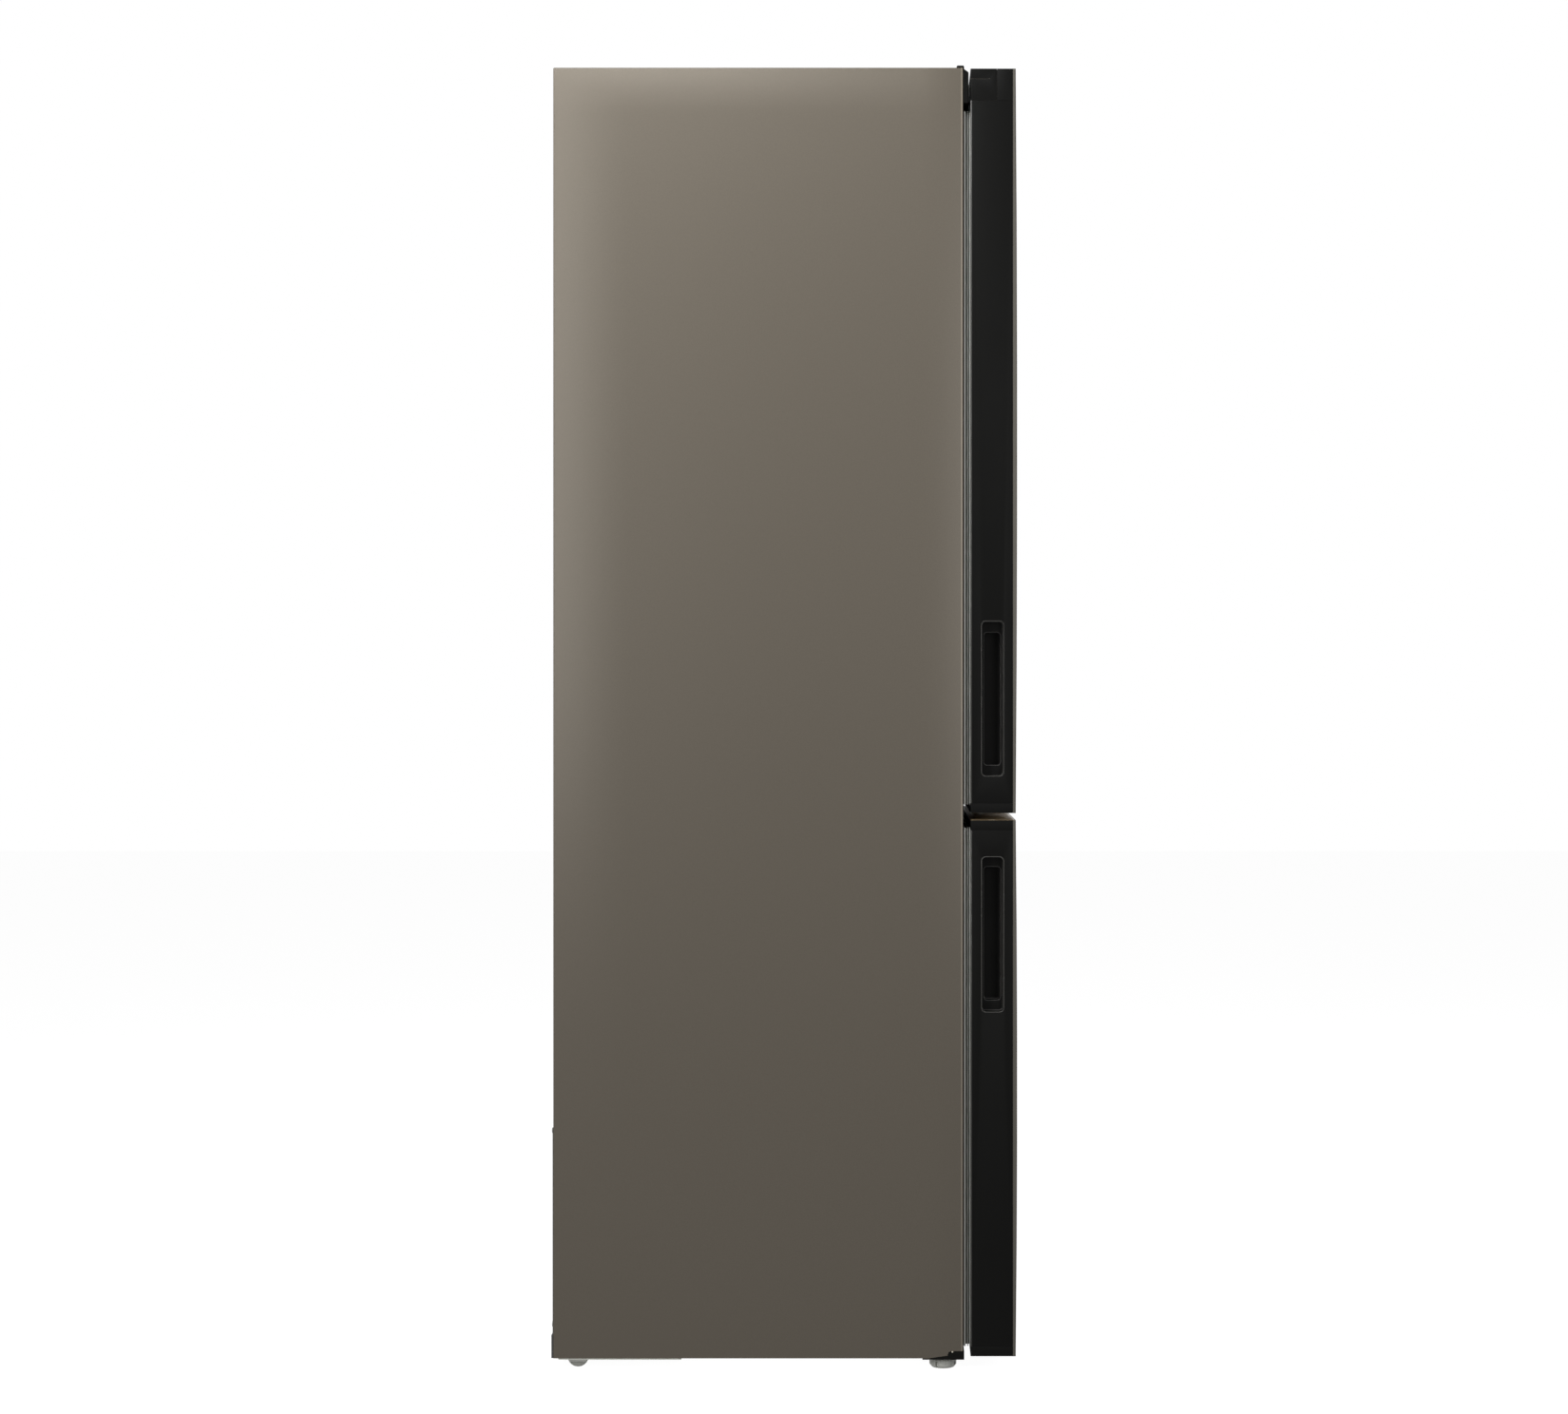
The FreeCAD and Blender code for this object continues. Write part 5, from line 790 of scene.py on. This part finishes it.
# Three pips on the lower door's cap, painted pale as glints: how far behind the cap's front, and in from the
# side
PIP_PLACES = (36.5 * MM, 33.2 * MM, 29.9 * MM)
PIP_INSET = 5 * MM
PIP_SINK = 0.05 * MM
PIP_RADIUS = 0.8 * MM
PIP_HEIGHT = 0.4 * MM

# The bracket's side is set in for its small screw, which has a place behind its front and below its top
SCREW_LEDGE = 0.4 * MM
SCREW_BACK = 16.8 * MM
SCREW_DOWN = 2.1 * MM
WASHER_RADIUS = 2.3 * MM
WASHER_HEIGHT = 0.12 * MM
SMALL_HEAD_RISE = 1.0 * MM
SMALL_HEAD_RADIUS = 1.1 * MM
SMALL_HEAD_HEIGHT = 0.38 * MM


def make_grips_and_trims():
    """The hand grips and side channels, their rims glossier and painted paler as a highlight."""
    for name in ("fridge_door_grip", "freezer_door_grip"):
        eased(name, GRIP_EASE, segments=3, rim=RIM_PAINTED_HIGHLIGHT)
    for name in ("fridge_door_side_trims", "freezer_door_side_trims"):
        mesh = eased(name, TRIM_EASE)
        mesh.materials.append(RIM_PAINTED_HIGHLIGHT)
        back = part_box(name)[1].y
        for face in mesh.polygons:
            leans = face.normal.x < -HIGHLIGHT_LEAN and face.normal.y > HIGHLIGHT_LEAN
            if leans and face.center.y > back - HIGHLIGHT_REACH:
                face.material_index = 1


def make_caps():
    """The corner cap and end caps, with painted highlights on the corner cap's rims and painted light on the
    end faces that face each other, and three pips on the lower one painted pale as glints.
    """
    eased("fridge_door_corner_cap", CORNER_CAP_EASE, rim=CAP_RIM_PAINTED_HIGHLIGHT)
    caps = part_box("freezer_door_end_caps")
    top = caps[1].z
    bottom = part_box("fridge_door_end_caps")[0].z
    for node, level, way in (("freezer_door_end_caps", top, 1), ("fridge_door_end_caps", bottom, -1)):
        mesh = eased(node, CAP_EASE)
        mesh.materials.append(CAP_END_PAINTED_LIGHT)
        for face in mesh.polygons:
            if face.normal.z * way > END_LEAN and abs(face.center.z - level) < END_REACH:
                face.material_index = 1
    for count, place in enumerate(PIP_PLACES):
        centre = (CAD_LOW.x + PIP_INSET, caps[0].y + place, top - PIP_SINK)
        button(f"cap_pip_{count}", "freezer_door_end_caps", "Z", centre, PIP_RADIUS, PIP_HEIGHT,
               "galvanised_steel", finish=HEAD_PAINTED_GLINT)


def make_corner_bracket():
    """The bracket under the corner, its side set in by the height of the small screw head on it."""
    side = CAD_LOW.x + SCREW_LEDGE
    for vertex in eased("corner_bracket", BRACKET_EASE).vertices:
        if vertex.co.x < side:
            vertex.co.x = side
    low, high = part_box("corner_bracket")
    y, z = low.y + SCREW_BACK, high.z - SCREW_DOWN
    button("bracket_screw_washer", "corner_bracket", "X", (side, y, z), WASHER_RADIUS, WASHER_HEIGHT,
           "trim_black")
    # The small head on the black washer is painted pale as a glint
    button("bracket_screw", "corner_bracket", "X", (side, y, z + SMALL_HEAD_RISE), SMALL_HEAD_RADIUS,
           SMALL_HEAD_HEIGHT, "galvanised_steel", finish=HEAD_PAINTED_GLINT)


# Fine trim inside and behind, in millimetres

DRAWERS = ("crisper_drawer", "chill_drawer", "freezer_drawer_bottom", "freezer_drawer_middle",
           "freezer_drawer_top")
LIP_START = 77
LIP_INSET = 13
LIP_HEIGHT = 5
LIP_PROUD = 1.8
LIP_SINK = 1
FRONT_RIBS = (12, 20)
FRONT_RIB_INSET = 16
FRONT_RIB_HEIGHT = 3
FRONT_RIB_PROUD = 0.8
FRONT_RIB_SINK = 0.6
DRAWER_EASE = 0.4


def make_drawer_fronts():
    """A rolled lip on each drawer's front, either side of its scoop, and two ribs low on it."""
    for node in DRAWERS:
        low, high = span(node)
        boxes = []
        for side in (-1, 1):
            ends = sorted((side * LIP_START, side * (high.x - LIP_INSET)))
            boxes.append(((ends[0], low.y - LIP_PROUD, high.z - LIP_HEIGHT),
                          (ends[1], low.y + LIP_SINK, high.z)))
        for level in (low.z + rib for rib in FRONT_RIBS):
            boxes.append(((low.x + FRONT_RIB_INSET, low.y - FRONT_RIB_PROUD, level),
                          (high.x - FRONT_RIB_INSET, low.y + FRONT_RIB_SINK, level + FRONT_RIB_HEIGHT)))
        bars(f"{node}_front", node, boxes, DRAWER_EASE)


BINS = ("bottle_bin", "door_bin_lower", "door_bin_middle", "door_bin_upper")
WALL_REACH = 1.5
RIM_INSET = 18
RIM_SINK = 1.6
RIM_PROUD = 0.8
RIM_BOTTOM = 6
RIM_TOP = 1
BIN_EASE = 0.6


def make_bin_rims():
    """A rolled rim along the front of each door bin, the wall that faces the cabinet."""
    for node in BINS:
        low, high = span(node)
        wall = (high.y - WALL_REACH) * MM
        top = max(spot.co.z for spot in NODES[node].data.vertices if spot.co.y > wall) / MM
        rim = ((low.x + RIM_INSET, high.y - RIM_SINK, top - RIM_BOTTOM),
               (high.x - RIM_INSET, high.y + RIM_PROUD, top - RIM_TOP))
        bars(f"{node}_rim", node, [rim], BIN_EASE)


VENT_MIDDLE = 55
VENT_HALF = 26
FRIDGE_SHELVES_ABOVE = 1000
SLAT_STEPS = (2.0, 5.6)
SLAT_HEIGHT = 1.4
SLAT_LAP = 0.4
SLAT_NEAR = 0.6
SLAT_FAR = 4
SLAT_EASE = 0.3


def make_vent_slats():
    """Slats in the vents of the fridge's air duct, halfway between its shelves."""
    front = span("air_duct")[0].y
    levels = sorted(low.z for low, high in islands("glass_shelves") if low.z > FRIDGE_SHELVES_ABOVE * MM)
    half_pitch = (levels[1] - levels[0]) / 2
    half = VENT_HALF + SLAT_LAP
    boxes = []
    for level in levels:
        for side in (-1, 1):
            middle = side * VENT_MIDDLE
            for step in SLAT_STEPS:
                start = (level + half_pitch) / MM + step
                boxes.append(((middle - half, front + SLAT_NEAR, start),
                              (middle + half, front + SLAT_FAR, start + SLAT_HEIGHT)))
    bars("vent_slats", "air_duct", boxes, SLAT_EASE)


FRAME_HALF = 195
FRAME_MARGIN = 60
FRAME_WIDTH = 14
FRAME_LAP = 1
FRAME_SINK = 0.6
FRAME_PROUD = 2.6
FRAME_RIBS = (200, 330, 460, 590)
FRAME_RIB_INSET = 34
FRAME_RIB_HEIGHT = 6
FRAME_RIB_STEP = 1
FRAME_EASE = 1.2


def make_door_frame():
    """A raised frame and ribs pressed into the freezer door's liner."""
    low, high = span("freezer_door_liner")
    bottom, top = low.z + FRAME_MARGIN, high.z - FRAME_MARGIN
    near, proud = high.y - FRAME_SINK, high.y + FRAME_PROUD
    inside = FRAME_HALF - FRAME_WIDTH
    across = inside + FRAME_LAP
    boxes = [((-FRAME_HALF, near, bottom), (-inside, proud, top)),
             ((inside, near, bottom), (FRAME_HALF, proud, top)),
             ((-across, near, bottom), (across, proud, bottom + FRAME_WIDTH)),
             ((-across, near, top - FRAME_WIDTH), (across, proud, top))]
    end = FRAME_HALF - FRAME_RIB_INSET
    for level in FRAME_RIBS:
        boxes.append(((-end, near, level), (end, proud - FRAME_RIB_STEP, level + FRAME_RIB_HEIGHT)))
    bars("freezer_liner_frame", "freezer_door_liner", boxes, FRAME_EASE)


BACK_RIBS = (560, 790, 1020, 1250, 1480, 1710)
BACK_RIB_HALF = 225
BACK_RIB_HEIGHT = 16
BACK_BEAD_X = 252
BACK_BEAD_HALF = 7
BACK_BEAD_ENDS = (400, 1790)
BACK_SINK = 0.4
BACK_PROUD = 1.5
BACK_EASE = 0.9


def make_back_ribs():
    """The ribs pressed into the back sheet."""
    back = span("back_panel")[1].y
    near, proud = back - BACK_SINK, back + BACK_PROUD
    boxes = [((-BACK_RIB_HALF, near, level), (BACK_RIB_HALF, proud, level + BACK_RIB_HEIGHT))
             for level in BACK_RIBS]
    bottom, top = BACK_BEAD_ENDS
    for middle in (-BACK_BEAD_X, BACK_BEAD_X):
        boxes.append(((middle - BACK_BEAD_HALF, near, bottom), (middle + BACK_BEAD_HALF, proud, top)))
    bars("back_ribs", "back_panel", boxes, BACK_EASE)


# A louvre's hood in section: way out from the cover's sheet, and level above the louvre's foot
LOUVRE_HOOD = ((-0.2, 10), (1.0, 8.6), (1.7, 5.4), (1.7, 2.8),
               (1.2, 2.8), (1.1, 5.2), (0.4, 7.6), (-0.2, 8.2))
LOUVRE_HALF = 47.5
LOUVRE_COLUMNS = 4
LOUVRE_ROWS = 6
LOUVRE_COLUMN_PITCH = 122
LOUVRE_ROW_PITCH = 18
LOUVRE_LEVEL = 110

# How far the rib along the cover's foot stands out from its sheet
COVER_RIB_PROUD = 1.8


def make_louvres():
    """A pressed hood over the upper half of each louvre of the rear cover, and the cover's black finish."""
    face = span("rear_cover")[1].y - COVER_RIB_PROUD
    points, faces = [], []
    count = len(LOUVRE_HOOD)
    for column in range(LOUVRE_COLUMNS):
        middle = LOUVRE_COLUMN_PITCH * (column - (LOUVRE_COLUMNS - 1) / 2)
        for row in range(LOUVRE_ROWS):
            level = LOUVRE_LEVEL + LOUVRE_ROW_PITCH * row
            start = len(points)
            for x in (middle - LOUVRE_HALF, middle + LOUVRE_HALF):
                points += [Vector((x, face + out, level + up)) * MM for out, up in LOUVRE_HOOD]
            for item in range(count):
                after = (item + 1) % count
                faces.append((start + item, start + after, start + count + after, start + count + item))
            faces.append([start + item for item in range(count)])
            faces.append([start + count + item for item in reversed(range(count))])
    piece = mesh_piece("louvre_hoods", points, faces, SLOT_OF["rear_cover"])
    for data in (piece.data, NODES["rear_cover"].data):
        data.materials[0] = COVER_BLACK
    tidy_normals(piece)
    smooth(piece)
    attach(piece, BODY_OF["rear_cover"])


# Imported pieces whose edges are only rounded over, by how much, in millimetres
EASED = {
    0.5: ("top_front_trim", "drain_pan", "cord_gland"),
    0.35: ("top_hinge", "mid_hinge", "evaporator_cover", "air_duct", "condenser_fan_frame"),
    0.25: ("bottom_hinge", "roller_brackets"),
    0.7: (*BINS, *DRAWERS, "shelf_trims", "crisper_cover", "glass_shelves"),
}
LAMP_EASE = 0.5 * MM
TRAY_EASE = 0.25 * MM


def make_pieces():
    for width, names in EASED.items():
        for name in names:
            eased(name, width * MM)
    make_grips_and_trims()
    make_caps()
    make_corner_bracket()
    make_drawer_fronts()
    make_bin_rims()
    make_vent_slats()
    make_door_frame()
    make_back_ribs()
    make_louvres()
    eased("fridge_lamp", LAMP_EASE).materials[0] = LAMP_LENS
    eased("base_tray", TRAY_EASE).materials[0] = TRAY_PAINT
    for name in ("fridge_door_gasket", "freezer_door_gasket"):
        make_seal(name)
    for name in ("front_foot_left", "front_foot_right"):
        make_foot(name)
    make_screws()


# Stage and lights

FLOOR_REACH = 14
FLOOR_GLOW = 0.96
WORLD_LIGHT = 0.06

# Each lamp: where it is, what it looks at, its width, height and power
LAMPS = {
    "key_light": ((-1.2, 0.6, 2.75), (-0.3, 0.1, 1.5), 1.4, 0.9, 38),
    "top_strip": ((-2.5, 0.2, 2.8), (-0.3, 0.1, 1.85), 0.9, 0.35, 6),
    "rear_strip": ((-2.5, 1.15, 1.75), (-0.3, 0.33, 1.4), 0.5, 2.0, 31),
    "front_strip": ((-2.5, -0.95, 1.35), (-0.3, -0.25, 1.25), 0.4, 1.4, 12),
    "front_light": ((0.8, -4.0, 2.2), (0, -0.3, 0.9), 1.6, 2.2, 42),
}


def make_stage():
    mesh = bpy.data.meshes.new("floor")
    low, high = -FLOOR_REACH, FLOOR_REACH
    mesh.from_pydata([(low, low, 0), (high, low, 0), (high, high, 0), (low, high, 0)], [], [(0, 1, 2, 3)])
    floor = link(bpy.data.objects.new("floor", mesh))
    floor.data.materials.append(floor_finish())


def seen_rays(nodes, links):
    """One where the camera, a gloss or a clear pane looks, zero for the light that falls on things."""
    rays = nodes.new("ShaderNodeLightPath")
    seen = rays.outputs["Is Camera Ray"]
    for name in ("Is Glossy Ray", "Is Transmission Ray"):
        either = nodes.new("ShaderNodeMath")
        either.operation = "MAXIMUM"
        links.new(seen, either.inputs[0])
        links.new(rays.outputs[name], either.inputs[1])
        seen = either.outputs["Value"]
    return seen


def floor_finish():
    """A pale floor, matt, which keeps the shadow and runs out to white."""
    finish = Finish("floor", linear(150, 150, 150), roughness=0.9, specular=0)
    finish.vary_colour(finish.noise(scale=2), dark=0.99, light=1.0)
    glow = finish.nodes.new("ShaderNodeEmission")
    finish.links.new(seen_rays(finish.nodes, finish.links), glow.inputs["Strength"])
    glow.inputs["Color"].default_value = (FLOOR_GLOW, FLOOR_GLOW, FLOOR_GLOW, 1)
    both = finish.nodes.new("ShaderNodeAddShader")
    finish.links.new(finish.shader.outputs["BSDF"], both.inputs[0])
    finish.links.new(glow.outputs["Emission"], both.inputs[1])
    finish.links.new(both.outputs["Shader"], finish.nodes["Material Output"].inputs["Surface"])
    return finish.material


def make_world():
    world = bpy.data.worlds.new("studio")
    bpy.context.scene.world = world
    world.use_nodes = True
    nodes, links = world.node_tree.nodes, world.node_tree.links
    background = nodes["Background"]
    background.inputs["Color"].default_value = (1, 1, 1, 1)
    strength = nodes.new("ShaderNodeMapRange")
    strength.inputs["To Min"].default_value = WORLD_LIGHT
    strength.inputs["To Max"].default_value = 1.0
    links.new(seen_rays(nodes, links), strength.inputs["Value"])
    links.new(strength.outputs["Result"], background.inputs["Strength"])


def make_lights():
    for name, (spot, target, width, height, power) in LAMPS.items():
        data = bpy.data.lights.new(name, "AREA")
        data.shape = "RECTANGLE"
        data.size = width
        data.size_y = height
        data.energy = power
        light = link(bpy.data.objects.new(name, data))
        light.location = spot
        light.rotation_euler = (Vector(target) - Vector(spot)).to_track_quat("-Z", "Y").to_euler()


dress_nodes()
make_pieces()
make_camera()
make_stage()
make_world()
make_lights()
bpy.context.scene.view_settings.view_transform = "Standard"
